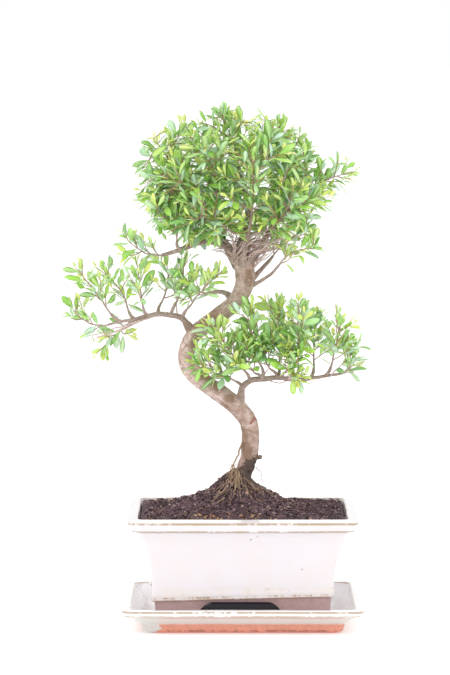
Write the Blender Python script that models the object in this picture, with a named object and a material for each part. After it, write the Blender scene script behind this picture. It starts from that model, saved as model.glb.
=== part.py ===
"""A bonsai tree in a glazed rectangular pot that stands on a matching drip tray.

The origin is the middle of the tray's underside, X runs along the pot's long side, -Y is the tree's front,
and Z is up. Every piece is its own object: the tray, the pot, the screens over its drain holes, the soil,
the trunk with its roots, each limb, and each leafy spray that a limb or a side shoot carries.
Wood and leaves are grown by extruding faces: a tube from a limb's face, a leaf from a twig's face.
"""

import math
import random
from typing import NamedTuple

import bmesh
import bpy
from mathutils import Vector
from mathutils.bvhtree import BVHTree

MM = 0.001
GAP = 0.3 * MM  # between pieces that touch

# Tray: how far its rim reaches past the pot's, and heights above the table.
TRAY_PAST_POT_X = 5 * MM
TRAY_PAST_POT_Y = 4.5 * MM
TRAY_HEIGHT = 24 * MM
TRAY_LIP = 8.6 * MM
TRAY_RIM_BAND = 6 * MM
TRAY_FLARE = 17 * MM  # how far the rim overhangs the foot band
TRAY_FOOT_BAND = 9 * MM
TRAY_FLOOR = 5.5 * MM
TRAY_CORNER = 8 * MM

# Pot: half sizes at its rim, and heights above the face that it stands on.
POT_RIM_X = 105 * MM
POT_RIM_Y = 83 * MM
TRAY_RIM_X = POT_RIM_X + TRAY_PAST_POT_X
TRAY_RIM_Y = POT_RIM_Y + TRAY_PAST_POT_Y
POT_HEIGHT = 101 * MM
POT_LIP = 9.8 * MM
POT_LIP_DROP = 3 * MM  # the lip's top slopes down to its outer edge
POT_RIM_BAND = 8.4 * MM
POT_RIM_LEAN = 3.5 * MM
POT_OVERHANG = 12.2 * MM  # rim edge to the top of the body
POT_BODY_FLARE = 10.9 * MM
POT_FLARE_POWER = 1.6
POT_WALL = 5.5 * MM
POT_FOOT = 24.2 * MM  # height of the unglazed foot skirt
POT_FOOT_INSET = 1.6 * MM
POT_FOOT_TAPER = 2.5 * MM
POT_FOOT_WALL = 6 * MM
POT_FLOOR = 6 * MM
POT_CORNER = 7 * MM
ARCH_CLEAR_OF_FLOOR = 3 * MM
ARCH_LEG = 30 * MM  # foot left standing at each end of an arch
ARCH_SHOULDER = 26 * MM
DRAIN_RADIUS = 10 * MM
DRAIN_SPACING = 84 * MM

# Screens of plastic mesh over the drain holes.
SCREEN_CELL = 7.5 * MM
SCREEN_CELLS = 4
SCREEN_BAR = 1.5 * MM
SCREEN_THICK = 1.2 * MM

# Soil: how far its edge lies under the lip, and the mound round the trunk.
SOIL_BELOW_LIP = 4.5 * MM
MOUND_HEIGHT = 33 * MM
MOUND_SPREAD_X = 52 * MM
MOUND_SPREAD_Y = 40 * MM
MOUND_CENTRE_X = -1 * MM

# Wood.
TRUNK_SIDES = 10
LIMB_SIDES = 6
SHOOT_RADIUS = 1.15 * MM
SHOOT_END_RADIUS = 0.85 * MM
STATION_STEP = 11 * MM
FORK_HALF = 1.3 * MM
KNEE = 2.5 * MM  # a side shoot leaves its limb squarely for this far
ROOT_LEVEL = 132.5 * MM
ROOT_RADIUS = 3.8 * MM
ROOT_TIP_RADIUS = 0.7 * MM

# Sprays.
TWIG_RADIUS = 0.8 * MM
TWIG_END_RADIUS = 0.5 * MM
NODE_HALF = 0.7 * MM  # half the short piece of twig that carries a pair of leaves
NODE_SPACING = 10.5 * MM
SIDE_TWIG = 15 * MM
LEAF_LENGTH = 19 * MM
LEAF_WIDTH = 8 * MM
LEAF_THICK = 0.5 * MM
CLEARANCE = 0.45 * MM  # kept free round each leaf and twig
STUB = 4 * MM  # room reserved for each spray's start
TRIES = 9

CORNER_STEPS = 4
UP = Vector((0, 0, 1))


class Shoot(NamedTuple):
    """A side shoot: the limb point it leaves, where its wood ends, and where its leafy spray ends."""

    fork: int
    knee: tuple
    tip: tuple


class Limb(NamedTuple):
    """A limb's route from inside the trunk, its radii, its side shoots, and the end of its own spray."""

    route: list
    radii: tuple
    shoots: list
    tip: tuple


# Routes are in millimetres, as the tree has grown and been trained.
TRUNK_ROUTE = [
    (1, 0, 112), (2, 0, 131), (5, 0, 153), (8, -2, 174), (5, -4, 192), (-5, -5, 205), (-17, -4, 215),
    (-31, -1, 224), (-45, 3, 233), (-53, 6, 245), (-53, 7, 258), (-48, 6, 271), (-39, 4, 280), (-28, 2, 287),
    (-17, 0, 295), (-7, -2, 303), (0, -3, 315), (1, -2, 327), (-1, 0, 338), (-4, 0, 350),
]
TRUNK_RADII = [12, 11.5, 10, 9, 8.6, 8.5, 8.4, 8.4, 8.2, 8, 8, 8, 7.8, 7.6, 7.6, 8, 8.2, 8.4, 8.6, 6.5]
ROOT_RUNS = [  # seen from above: right, left, front, back
    [(23, -5), (38, -12), (54, -15)],
    [(-18, 2), (-30, -2), (-43, -4)],
    [(4, -21), (2, -33), (-4, -44)],
    [(5, 20), (10, 31), (18, 43)],
]
AERIAL_ROOT = [(-1, -8, 166), (-6, -12, 157), (-8, -15, 147), (-9, -17, 136), (-9, -18, 126)]
AERIAL_RADIUS = 0.9 * MM

LIMBS = {
    "left_low_branch": Limb(
        [(-47, 5, 270), (-52, 4, 277), (-58, 2, 285), (-68, 0, 288), (-80, -3, 289), (-90, -6, 288),
         (-102, -9, 285), (-115, -12, 283), (-130, -14, 279)],
        (3.2, 1.0),
        [
            Shoot(2, (-49, -14, 299), (-20, -26, 330)),
            Shoot(3, (-62, -6, 302), (-58, -16, 345)),
            Shoot(4, (-76, 8, 301), (-72, 20, 338)),
            Shoot(5, (-94, -16, 299), (-99, -24, 340)),
            Shoot(6, (-109, 4, 296), (-138, 10, 332)),
            Shoot(7, (-126, -18, 294), (-156, -18, 334)),
            Shoot(6, (-110, 6, 276), (-138, 16, 250)),
        ],
        (-162, -20, 301),
    ),
    "left_middle_branch": Limb(
        [(-10, -1, 301), (-16, 8, 307), (-25, 18, 308), (-36, 27, 306)],
        (2.2, 1.0),
        [],
        (-70, 48, 316),
    ),
    "left_top_branch": Limb(
        [(-1, -1, 337), (-11, -3, 349), (-28, -6, 357), (-42, -12, 356), (-59, -16, 350), (-76, -18, 345)],
        (3.0, 1.1),
        [
            Shoot(3, (-47, -2, 367), (-66, 6, 398)),
            Shoot(4, (-62, -26, 360), (-86, -38, 392)),
        ],
        (-112, -28, 366),
    ),
    "right_fork_branch": Limb(
        [(-2, -3, 317), (8, 1, 322), (19, 8, 333), (27, 14, 342)],
        (2.4, 1.1),
        [],
        (66, 34, 362),
    ),
    "right_small_branch": Limb(
        [(0, -3, 313), (11, -6, 318), (24, -12, 326), (33, -19, 337)],
        (1.7, 1.0),
        [],
        (72, -30, 352),
    ),
    "crown_centre_limb": Limb(
        [(-3, 0, 344), (0, 2, 360), (4, 3, 384), (0, 4, 408), (-4, 3, 424)],
        (4.2, 1.4),
        [
            Shoot(2, (-10, -10, 398), (-34, -34, 440)),
            Shoot(3, (14, 12, 422), (36, 18, 470)),
        ],
        (-24, -2, 478),
    ),
    "crown_left_limb": Limb(
        [(-1, 0, 330), (-10, 6, 338), (-20, 10, 356), (-32, 8, 376), (-44, 4, 392)],
        (3.4, 1.2),
        [
            Shoot(3, (-36, -12, 392), (-70, -34, 416)),
            Shoot(3, (-30, 22, 390), (-50, 30, 446)),
        ],
        (-84, -4, 452),
    ),
    "crown_right_limb": Limb(
        [(0, -1, 333), (9, -2, 342), (18, -3, 356), (28, -3, 372), (42, -4, 386)],
        (3.4, 1.2),
        [
            Shoot(3, (36, -18, 382), (78, -32, 400)),
            Shoot(3, (30, 12, 388), (62, 20, 444)),
        ],
        (94, -8, 420),
    ),
    "crown_front_limb": Limb(
        [(-1, -2, 332), (-1, -12, 341), (3, -26, 361), (6, -38, 380)],
        (3.0, 1.2),
        [
            Shoot(2, (-12, -32, 368), (-44, -58, 388)),
            Shoot(2, (19, -32, 368), (44, -60, 412)),
        ],
        (8, -54, 432),
    ),
    "crown_back_limb": Limb(
        [(-1, 1, 331), (2, 12, 341), (-1, 28, 364), (-6, 42, 384)],
        (3.0, 1.2),
        [
            Shoot(2, (-18, 36, 370), (-56, 56, 404)),
            Shoot(2, (14, 34, 370), (50, 58, 404)),
        ],
        (-4, 56, 440),
    ),
    "right_low_branch": Limb(
        [(-4, -5, 205), (-3, -8, 214), (-1, -11, 222), (6, -14, 228), (18, -16, 230), (31, -16, 231),
         (47, -14, 229), (62, -12, 230), (76, -10, 232), (90, -8, 234)],
        (2.9, 1.0),
        [
            Shoot(2, (-11, -22, 230), (-50, -38, 248)),
            Shoot(3, (-3, -28, 242), (-32, -42, 286)),
            Shoot(4, (14, -24, 246), (2, -30, 298)),
            Shoot(5, (33, -4, 246), (30, 8, 302)),
            Shoot(5, (38, -32, 238), (50, -56, 232)),
            Shoot(6, (50, -24, 244), (50, -34, 304)),
            Shoot(7, (65, 0, 245), (68, 14, 288)),
            Shoot(8, (82, -20, 247), (90, -22, 286)),
        ],
        (98, -8, 258),
    ),
}

COLOURS = {
    "cream_glaze": ((0.86, 0.80, 0.70, 1), 0.25),
    "tray_glaze": ((0.84, 0.78, 0.68, 1), 0.28),
    "screen_plastic": ((0.03, 0.03, 0.03, 1), 0.6),
    "potting_soil": ((0.07, 0.05, 0.045, 1), 0.95),
    "bark": ((0.42, 0.32, 0.26, 1), 0.8),
    "leaf": ((0.20, 0.42, 0.10, 1), 0.4),
}


def clear_scene():
    """Removes whatever the file already holds."""
    for obj in list(bpy.data.objects):
        bpy.data.objects.remove(obj)


def material(name):
    """The named material, made once."""
    found = bpy.data.materials.get(name)
    if found:
        return found
    colour, roughness = COLOURS[name]
    made = bpy.data.materials.new(name)
    made.use_nodes = True
    shader = made.node_tree.nodes["Principled BSDF"]
    shader.inputs["Base Color"].default_value = colour
    shader.inputs["Roughness"].default_value = roughness
    shader.inputs["Metallic"].default_value = 0.0
    made.diffuse_color = colour
    return made


def add_object(name, bm, material_name, helper=False):
    """Turns a bmesh into an object. A helper, such as a cutter, isn't part of the object."""
    mesh = bpy.data.meshes.new(name)
    bm.to_mesh(mesh)
    bm.free()
    obj = bpy.data.objects.new(name, mesh)
    bpy.context.scene.collection.objects.link(obj)
    obj.data.materials.append(material(material_name))
    if helper:
        obj.hide_render = True
        obj.display_type = "WIRE"
    return obj


def cut(obj, cutter):
    """Takes the cutter's shape out of obj."""
    modifier = obj.modifiers.new("cut_" + cutter.name, "BOOLEAN")
    modifier.operation = "DIFFERENCE"
    modifier.object = cutter


def vector(point):
    """A point of a route, in metres."""
    return Vector(point) * MM


# Lofts: a start prism, then faces extruded from ring to ring.


def rounded_rectangle(half_x, half_y, corner, z):
    """Points of a rectangle with round corners, anticlockwise seen from above."""
    corner = max(corner, 1.5 * MM)
    points = []
    for quadrant, (sign_x, sign_y) in enumerate(((1, 1), (-1, 1), (-1, -1), (1, -1))):
        for step in range(CORNER_STEPS):
            angle = math.pi / 2 * (quadrant + step / (CORNER_STEPS - 1))
            x = sign_x * (half_x - corner) + corner * math.cos(angle)
            y = sign_y * (half_y - corner) + corner * math.sin(angle)
            points.append(Vector((x, y, z)))
    return points


def start_prism(bm, low, high):
    """A closed prism between two rings. Returns its upper face."""
    lower = [bm.verts.new(point) for point in low]
    upper = [bm.verts.new(point) for point in high]
    bm.faces.new(reversed(lower))
    for k in range(len(lower)):
        after = (k + 1) % len(lower)
        bm.faces.new((lower[k], lower[after], upper[after], upper[k]))
    return bm.faces.new(upper)


def extrude_to(bm, face, points):
    """Extrudes a face and puts the new face's corners on the points. Returns the new face."""
    made = bmesh.ops.extrude_discrete_faces(bm, faces=[face])["faces"][0]
    for vert, point in zip(made.verts, points):
        vert.co = point
    return made


def loft(rings):
    """A closed bmesh through the rings, in order."""
    bm = bmesh.new()
    face = start_prism(bm, rings[0], rings[1])
    for ring in rings[2:]:
        face = extrude_to(bm, face, ring)
    bm.normal_update()
    return bm


# Ceramics and soil.


def build_tray():
    """The drip tray: a flared, rimmed dish on a plain foot band."""
    band_low = TRAY_HEIGHT - TRAY_RIM_BAND
    outline = [  # inset from the rim's edge, height
        (TRAY_FLARE + 5 * MM, 0),
        (TRAY_FLARE + 2 * MM, 2.5 * MM),
        (TRAY_FLARE, TRAY_FOOT_BAND),
        (TRAY_FLARE * 0.45, band_low - 1.5 * MM),
        (1.2 * MM, band_low),
        (0, TRAY_HEIGHT - 1 * MM),
        (1 * MM, TRAY_HEIGHT),
        (TRAY_LIP, TRAY_HEIGHT),
        (TRAY_LIP + 2 * MM, TRAY_HEIGHT - 5 * MM),
        (TRAY_FLARE + 4.5 * MM, TRAY_FLOOR + 3 * MM),
        (TRAY_FLARE + 7 * MM, TRAY_FLOOR),
    ]
    rings = [
        rounded_rectangle(TRAY_RIM_X - inset, TRAY_RIM_Y - inset, TRAY_CORNER - inset * 0.2, z)
        for inset, z in outline
    ]
    add_object("drip_tray", loft(rings), "tray_glaze")


def pot_base_z():
    """The height that the pot stands at, on the tray's floor."""
    return TRAY_FLOOR + GAP


def body_inset(height):
    """Inset of the pot's body from its rim edge: the wall flares with a power of the height."""
    low, high = POT_FOOT, POT_HEIGHT - POT_LIP_DROP - POT_RIM_BAND
    share = min(max((height - low) / (high - low), 0.0), 1.0)
    return POT_OVERHANG + POT_BODY_FLARE * (1 - share**POT_FLARE_POWER)


def cavity_profile():
    """Inset and height of the pot's inner wall, from its lip down to its floor."""
    floor = POT_FOOT + POT_FLOOR
    top = POT_HEIGHT - POT_LIP_DROP - POT_RIM_BAND - 2 * MM
    levels = [top - (top - floor) * share for share in (0, 0.2, 0.42, 0.7)]
    profile = [(POT_LIP, POT_HEIGHT), (POT_LIP + 1.2 * MM, POT_HEIGHT - 3 * MM)]
    profile += [(body_inset(level) + POT_WALL, level) for level in levels]
    profile += [
        (body_inset(floor) + POT_WALL + 1.5 * MM, floor + 5 * MM),
        (body_inset(floor) + POT_WALL + 5 * MM, floor),
    ]
    return profile


def cavity_inset(height):
    """Inset of the pot's inner wall at a height between two levels of its profile."""
    profile = cavity_profile()
    for (inset, level), (inset_below, below) in zip(profile, profile[1:]):
        if below <= height <= level:
            return inset + (inset_below - inset) * (level - height) / (level - below)
    raise ValueError("no inner wall at this height")


def pot_ring(inset, height):
    """A ring of the pot at this inset from its rim edge."""
    corner = POT_CORNER - inset * 0.1
    return rounded_rectangle(POT_RIM_X - inset, POT_RIM_Y - inset, corner, pot_base_z() + height)


def arch_cutter(name, half_length, depth, along_x):
    """A low ogee arch that runs right through the foot skirt, along Y or along X."""
    low = -3 * MM
    rise = POT_FOOT - ARCH_CLEAR_OF_FLOOR
    leg = half_length - ARCH_LEG
    side = []
    for step in range(6):
        share = step / 5
        side.append((leg - ARCH_SHOULDER * share, rise * (1 - math.cos(math.pi * share)) / 2))
    outline = [(leg, low), *side, *[(-x, z) for x, z in reversed(side)], (-leg, low)]
    rings = []
    for across in (-depth, depth):
        if along_x:
            rings.append([Vector((across, x, pot_base_z() + z)) for x, z in outline])
        else:
            rings.append([Vector((-x, across, pot_base_z() + z)) for x, z in outline])
    bm = bmesh.new()
    start_prism(bm, *rings)
    bmesh.ops.recalc_face_normals(bm, faces=bm.faces)
    return add_object(name, bm, "cream_glaze", helper=True)


def drain_cutter(name, x):
    """A cylinder through the pot's floor."""
    bm = bmesh.new()
    bmesh.ops.create_cone(
        bm, cap_ends=True, segments=16, radius1=DRAIN_RADIUS, radius2=DRAIN_RADIUS, depth=4 * POT_FLOOR
    )
    centre = Vector((x, 0, pot_base_z() + POT_FOOT + POT_FLOOR / 2))
    bmesh.ops.translate(bm, verts=bm.verts, vec=centre)
    return add_object(name, bm, "cream_glaze", helper=True)


def build_pot():
    """The pot: foot skirt with an arch in each side, flared body, rim band and sloping lip."""
    foot_inset = body_inset(POT_FOOT) + POT_FOOT_INSET
    band_low = POT_HEIGHT - POT_LIP_DROP - POT_RIM_BAND
    outline = [
        (foot_inset + POT_FOOT_WALL, POT_FOOT - 0.8 * MM),
        (foot_inset + POT_FOOT_TAPER + POT_FOOT_WALL, 0),
        (foot_inset + POT_FOOT_TAPER, 0),
        (foot_inset, POT_FOOT),
        (body_inset(POT_FOOT) - 0.6 * MM, POT_FOOT + 0.6 * MM),
        (body_inset(POT_FOOT) - 0.6 * MM, POT_FOOT + 3 * MM),
    ]
    for share in (0.2, 0.45, 0.7, 0.88, 1.0):
        level = POT_FOOT + (band_low - POT_FOOT) * share
        outline.append((body_inset(level), level - (1.2 * MM if share == 1.0 else 0)))
    outline += [
        (POT_RIM_LEAN, band_low),
        (0, POT_HEIGHT - POT_LIP_DROP),
        (1.5 * MM, POT_HEIGHT - POT_LIP_DROP + 1.5 * MM),
    ]
    pot = add_object("pot", loft([pot_ring(*place) for place in outline + cavity_profile()]), "cream_glaze")
    cut(pot, arch_cutter("front_arch", POT_RIM_X - foot_inset, POT_RIM_Y, along_x=False))
    cut(pot, arch_cutter("side_arch", POT_RIM_Y - foot_inset, POT_RIM_X, along_x=True))
    for name, side in (("left_drain", -1), ("right_drain", 1)):
        cut(pot, drain_cutter(name, side * DRAIN_SPACING / 2))


def screen_z():
    """The height of a screen's underside, just clear of the pot's floor."""
    return pot_base_z() + POT_FOOT + POT_FLOOR + GAP


def build_screen(name, x):
    """A square of plastic mesh that keeps the soil in over a drain hole."""
    bm = bmesh.new()
    half = SCREEN_CELL * SCREEN_CELLS / 2
    bmesh.ops.create_grid(bm, x_segments=SCREEN_CELLS, y_segments=SCREEN_CELLS, size=half)
    cells = bmesh.ops.inset_individual(bm, faces=bm.faces, thickness=SCREEN_BAR / 2)
    openings = [face for face in bm.faces if face not in set(cells["faces"])]
    bmesh.ops.delete(bm, geom=openings, context="FACES_ONLY")
    for vert in bm.verts:
        vert.co += Vector((x, 0, screen_z()))
    obj = add_object(name, bm, "screen_plastic")
    thicken = obj.modifiers.new("thickness", "SOLIDIFY")
    thicken.thickness = SCREEN_THICK
    thicken.offset = 1.0


def soil_edge_z():
    """The height of the soil where it meets the pot's wall."""
    return pot_base_z() + POT_HEIGHT - SOIL_BELOW_LIP


def soil_height(x, y):
    """The soil's surface: level at the wall, with a bell-shaped mound round the trunk."""
    across = ((x - MOUND_CENTRE_X) / MOUND_SPREAD_X) ** 2
    return soil_edge_z() + MOUND_HEIGHT * math.exp(-across - (y / MOUND_SPREAD_Y) ** 2)


def build_soil():
    """The soil: it fills the pot's cavity and rises to the trunk, whose shape is then cut out of it."""
    top = POT_HEIGHT - SOIL_BELOW_LIP
    walls = [(inset, height) for inset, height in reversed(cavity_profile()) if height < top]
    rings = [pot_ring(walls[0][0] + GAP, walls[0][1] + SCREEN_THICK + 2 * GAP)]
    rings += [pot_ring(inset + GAP, height) for inset, height in walls[1:]]
    rim = pot_ring(cavity_inset(top) + GAP, top)
    rings.append(rim)
    count = len(rim)
    for share in (0.93, 0.78, 0.62, 0.47, 0.34, 0.22, 0.1):
        ring = []
        for k, corner in enumerate(rim):
            angle = 2 * math.pi * (k + 0.5) / count
            round_x = MOUND_CENTRE_X + rim[0].x * share * math.cos(angle)
            round_y = rim[CORNER_STEPS - 1].y * share * math.sin(angle)
            blend = min(1.0, (1 - share) * 1.6)
            x = corner.x * share * (1 - blend) + round_x * blend
            y = corner.y * share * (1 - blend) + round_y * blend
            ring.append(Vector((x, y, soil_height(x, y))))
        rings.append(ring)
    soil = add_object("soil", loft(rings), "potting_soil")
    cut(soil, trunk_cutter("root_room", 2.3 * GAP))
    cut(soil, stem_cutter("stem_room", 3 * GAP))


# Wood: tubes that are extruded from a face, ring by ring.


def smooth(points, per_span=8):
    """A Catmull-Rom curve through the points."""
    ends = [points[0] * 2 - points[1], *points, points[-1] * 2 - points[-2]]
    curve = []
    for a, b, c, d in zip(ends, ends[1:], ends[2:], ends[3:]):
        first, second, third = c - a, 2 * a - 5 * b + 4 * c - d, 3 * b - a - 3 * c + d
        for step in range(per_span):
            t = step / per_span
            curve.append(0.5 * (2 * b + first * t + second * t * t + third * t**3))
    curve.append(points[-1].copy())
    return curve


class Line:
    """A smooth line with its length along it, so that stations can be put where they are needed."""

    def __init__(self, points):
        self.points = smooth(points)
        self.along = [0.0]
        for a, b in zip(self.points, self.points[1:]):
            self.along.append(self.along[-1] + (b - a).length)
        self.length = self.along[-1]

    def at(self, distance):
        """The point this far along. Beyond its ends the line runs straight on."""
        last = len(self.along) - 1
        k = next((n for n in range(1, last) if distance <= self.along[n]), last)
        share = (distance - self.along[k - 1]) / max(self.along[k] - self.along[k - 1], 1e-9)
        return self.points[k - 1] + (self.points[k] - self.points[k - 1]) * share

    def towards(self, distance):
        """The direction of the line this far along."""
        step = 0.5 * MM
        return (self.at(distance + step) - self.at(distance - step)).normalized()

    def distance_of(self, point):
        """How far along the line comes nearest to the point."""
        nearest = min(range(len(self.points)), key=lambda k: (self.points[k] - point).length)
        return self.along[nearest]


def ring_round(centre, direction, corner, radius, count):
    """A regular ring across direction, whose first point lies towards corner."""
    side = (corner - direction * corner.dot(direction)).normalized()
    other = direction.cross(side)
    turn = 2 * math.pi / count
    return [centre + (side * math.cos(k * turn) + other * math.sin(k * turn)) * radius for k in range(count)]


def side_faces(face):
    """The faces round a cap, in the order of its edges."""
    found = []
    for edge in face.edges:
        found += [other for other in edge.link_faces if other is not face]
    return found


def grow_tube(bm, face, line, stations, radius_at):
    """Extrudes a face along a line. Returns the end face and each segment's side faces by its middle."""
    corner = face.verts[0].co - face.calc_center_median()
    segments = []
    last = 0.0
    for distance in stations:
        direction = line.towards(distance)
        count = len(face.verts)
        points = ring_round(line.at(distance), direction, corner, radius_at(distance), count)
        corner = points[0] - line.at(distance)
        face = extrude_to(bm, face, points)
        segments.append(((distance + last) / 2, side_faces(face)))
        last = distance
    return face, segments


def stations_of(length, forks, half, step):
    """Distances of the rings: a close pair round each fork, and even steps between."""
    pairs = sorted({round(fork, 5) for fork in forks})
    places = []
    for fork in pairs:
        places += [fork - half, fork + half]
    stops = [0.0, *places, length]
    for k in range(0, len(stops) - 1, 2):
        low, high = stops[k], stops[k + 1]
        count = max(1, round((high - low) / step))
        places += [low + (high - low) * n / count for n in range(1, count)]
    places.append(length)
    return sorted(place for place in places if 0.2 * MM < place <= length)


def face_towards(faces, direction, used):
    """The unused quad that looks most nearly along direction."""
    free = [face for face in faces if face not in used]
    for face in free:
        face.normal_update()
    return max(free, key=lambda face: face.normal.dot(direction))


def tube_start(bm, line, radius, sides):
    """The first piece of a limb: a closed stub whose upper face the limb is extruded from."""
    direction = line.towards(0)
    corner = direction.orthogonal()
    low = ring_round(line.at(0), direction, corner, radius, sides)
    high = ring_round(line.at(0) + direction * 0.6 * MM, direction, corner, radius, sides)
    return start_prism(bm, low, high)


def trunk_bmesh(grown=0, rooted=True):
    """The trunk with its surface roots and its aerial root, or the bare stem, thicker by grown."""
    line = Line([vector(point) for point in TRUNK_ROUTE])
    marks = [line.distance_of(vector(point)) for point in TRUNK_ROUTE]

    def radius_at(distance):
        for k in range(1, len(marks)):
            if distance <= marks[k]:
                share = (distance - marks[k - 1]) / max(marks[k] - marks[k - 1], 1e-9)
                return (TRUNK_RADII[k - 1] * (1 - share) + TRUNK_RADII[k] * share) * MM + grown
        return TRUNK_RADII[-1] * MM + grown

    bm = bmesh.new()
    root_mark = line.distance_of(Vector((2 * MM, 0, ROOT_LEVEL)))
    aerial_mark = line.distance_of(vector(AERIAL_ROOT[0]))
    places = [root_mark - ROOT_RADIUS, root_mark + ROOT_RADIUS, aerial_mark - 2 * MM, aerial_mark + 2 * MM]
    places += marks[3:]
    face = tube_start(bm, line, radius_at(0), TRUNK_SIDES)
    face, segments = grow_tube(bm, face, line, sorted(places), radius_at)
    if not rooted:
        return bm

    def faces_at(distance):
        return min(segments, key=lambda segment: abs(segment[0] - distance))[1]

    used = []
    for run in ROOT_RUNS:
        points = []
        for x, y in run:
            sunk = 1.0 * MM * len(points)
            points.append(Vector((x * MM, y * MM, soil_height(x * MM, y * MM) + 0.8 * MM - sunk)))
        start = face_towards(faces_at(root_mark), points[0] - line.at(root_mark), used)
        used.append(start)
        grow_root(bm, start, points, ROOT_RADIUS, ROOT_TIP_RADIUS)
    points = [vector(point) for point in AERIAL_ROOT]
    start = face_towards(faces_at(aerial_mark), points[1] - line.at(aerial_mark), used)
    grow_root(bm, start, points[1:], AERIAL_RADIUS, AERIAL_RADIUS * 0.8)
    bmesh.ops.triangulate(bm, faces=bm.faces)
    bmesh.ops.recalc_face_normals(bm, faces=bm.faces)
    bm.normal_update()
    return bm


def grow_root(bm, start, points, first, last):
    """A root that leaves a face of the trunk, runs through the points and tapers."""
    line = Line([start.calc_center_median(), *points])
    count = len(points) * 2
    stations = [line.length * (k + 1) / count for k in range(count)]

    def radius_at(distance):
        share = distance / line.length
        return first * (1 - share) + last * share

    grow_tube(bm, start, line, stations, radius_at)


def trunk_cutter(name, room):
    """The trunk's shape moved outward, for cutting its seat in the soil or in the limbs."""
    bm = trunk_bmesh()
    for vert in bm.verts:
        vert.co += vert.normal * room
    return add_object(name, bm, "bark", helper=True)


def stem_cutter(name, room):
    """The stem alone, thicker by room, which clears the creases between it and the roots."""
    return add_object(name, trunk_bmesh(grown=room, rooted=False), "bark", helper=True)


def build_limb(name, limb, cutter):
    """A limb with its side shoots, cut to sit against the trunk. Returns where its sprays begin and end."""
    route = [vector(point) for point in limb.route]
    line = Line(route)
    first, last = limb.radii[0] * MM, limb.radii[1] * MM

    def radius_at(distance):
        share = (distance / line.length) ** 0.7
        return first * (1 - share) + last * share

    marks = {shoot.fork: line.distance_of(route[shoot.fork]) for shoot in limb.shoots}
    bm = bmesh.new()
    face = tube_start(bm, line, first, LIMB_SIDES)
    stations = stations_of(line.length, marks.values(), FORK_HALF, STATION_STEP)
    face, segments = grow_tube(bm, face, line, stations, radius_at)
    sprays = [(line.at(line.length), line.towards(line.length), vector(limb.tip), last)]
    used = []
    for shoot in limb.shoots:
        mark = marks[shoot.fork]
        faces = min(segments, key=lambda segment: abs(segment[0] - mark))[1]
        knee = vector(shoot.knee)
        start = face_towards(faces, knee - line.at(mark), used)
        used.append(start)
        centre = start.calc_center_median()
        away = start.normal * KNEE
        reach = Line([centre, centre + away, knee])
        places = [2.0 * MM, reach.length * 0.5, reach.length]

        def shoot_radius(distance, length=reach.length):
            return SHOOT_RADIUS + (SHOOT_END_RADIUS - SHOOT_RADIUS) * distance / length

        grow_tube(bm, start, reach, places, shoot_radius)
        sprays.append((knee, reach.towards(reach.length), vector(shoot.tip), SHOOT_END_RADIUS))
    bmesh.ops.recalc_face_normals(bm, faces=bm.faces)
    obj = add_object(name, bm, "bark")
    cut(obj, cutter)
    return obj, sprays


# Leaves: flat rings extruded from a twig's face and drawn to a point.


class Space:
    """What is already built, so that later leaves and twigs keep clear of it."""

    def __init__(self):
        self.held = []

    def add(self, points, faces):
        """Marks the space inside these faces as taken, and returns the mark."""
        low = Vector(min(point[k] for point in points) for k in range(3))
        high = Vector(max(point[k] for point in points) for k in range(3))
        mark = (low, high, BVHTree.FromPolygons(points, faces))
        self.held.append(mark)
        return mark

    def release(self, mark):
        """Frees a marked space again."""
        self.held = [other for other in self.held if other is not mark]

    def add_object(self, obj):
        """Marks an object's mesh as taken."""
        points = [vert.co.copy() for vert in obj.data.vertices]
        self.add(points, [tuple(face.vertices) for face in obj.data.polygons])

    def is_free(self, points, faces):
        """Whether these faces cross nothing that is already there."""
        low = [min(point[k] for point in points) for k in range(3)]
        high = [max(point[k] for point in points) for k in range(3)]
        tree = None
        for other_low, other_high, other in self.held:
            if any(low[k] > other_high[k] or high[k] < other_low[k] for k in range(3)):
                continue
            tree = tree or BVHTree.FromPolygons(points, faces)
            if tree.overlap(other):
                return False
        return True


def shell_of(rings):
    """Points and faces of a closed skin through rings, for the clearance test."""
    count = len(rings[0])
    points = [point for ring in rings for point in ring]
    faces = [tuple(range(count)), tuple(range(len(points) - count, len(points)))]
    for row in range(len(rings) - 1):
        for k in range(count):
            a, b = row * count + k, row * count + (k + 1) % count
            faces.append((a, b, b + count, a + count))
    return points, faces


def stub_shell(start, direction):
    """The room that a spray's first few millimetres need."""
    across = direction.orthogonal()
    ends = (start + direction * GAP, start + direction * STUB)
    return shell_of([ring_round(end, direction, across, TWIG_RADIUS + CLEARANCE, 4) for end in ends])


class Leaf:
    """One leaf: where it starts, the way it points, its upper side and its size."""

    OUTLINE = ((0.36, 0.5), (0.7, 0.42))  # share of the length, half width as a share of the width

    def __init__(self, base, axis, upper, size):
        self.base = base
        self.axis = axis.normalized()
        self.normal = (upper - self.axis * upper.dot(self.axis)).normalized()
        self.across = self.normal.cross(self.axis)
        self.length = LEAF_LENGTH * size
        self.width = LEAF_WIDTH * size

    def station(self, share, half_width, half_thick):
        """The four corners of the leaf at a share of its length. The blade arches down to its tip."""
        droop = self.normal * (-0.12 * self.length * share * share)
        centre = self.base + self.axis * (self.length * share) + droop
        wide, thick = self.across * half_width, self.normal * half_thick
        return [centre + wide + thick, centre - wide + thick, centre - wide - thick, centre + wide - thick]

    def rings(self):
        """The leaf's rings between its base and its tip."""
        return [self.station(share, half * self.width, LEAF_THICK / 2) for share, half in self.OUTLINE]

    def tip(self):
        """The leaf's tip."""
        return sum(self.station(1.0, 0, 0), Vector()) / 4

    def clearance(self, begin):
        """The leaf's shape from a share of its length on, grown by the clearance."""
        grown = LEAF_THICK / 2 + CLEARANCE
        rings = [self.station(begin, self.width * 0.2, grown)]
        rings += [self.station(share, half * self.width + CLEARANCE, grown) for share, half in self.OUTLINE]
        rings.append(self.station(1.0, 0.2 * MM, grown * 0.6))
        return shell_of(rings)


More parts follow.
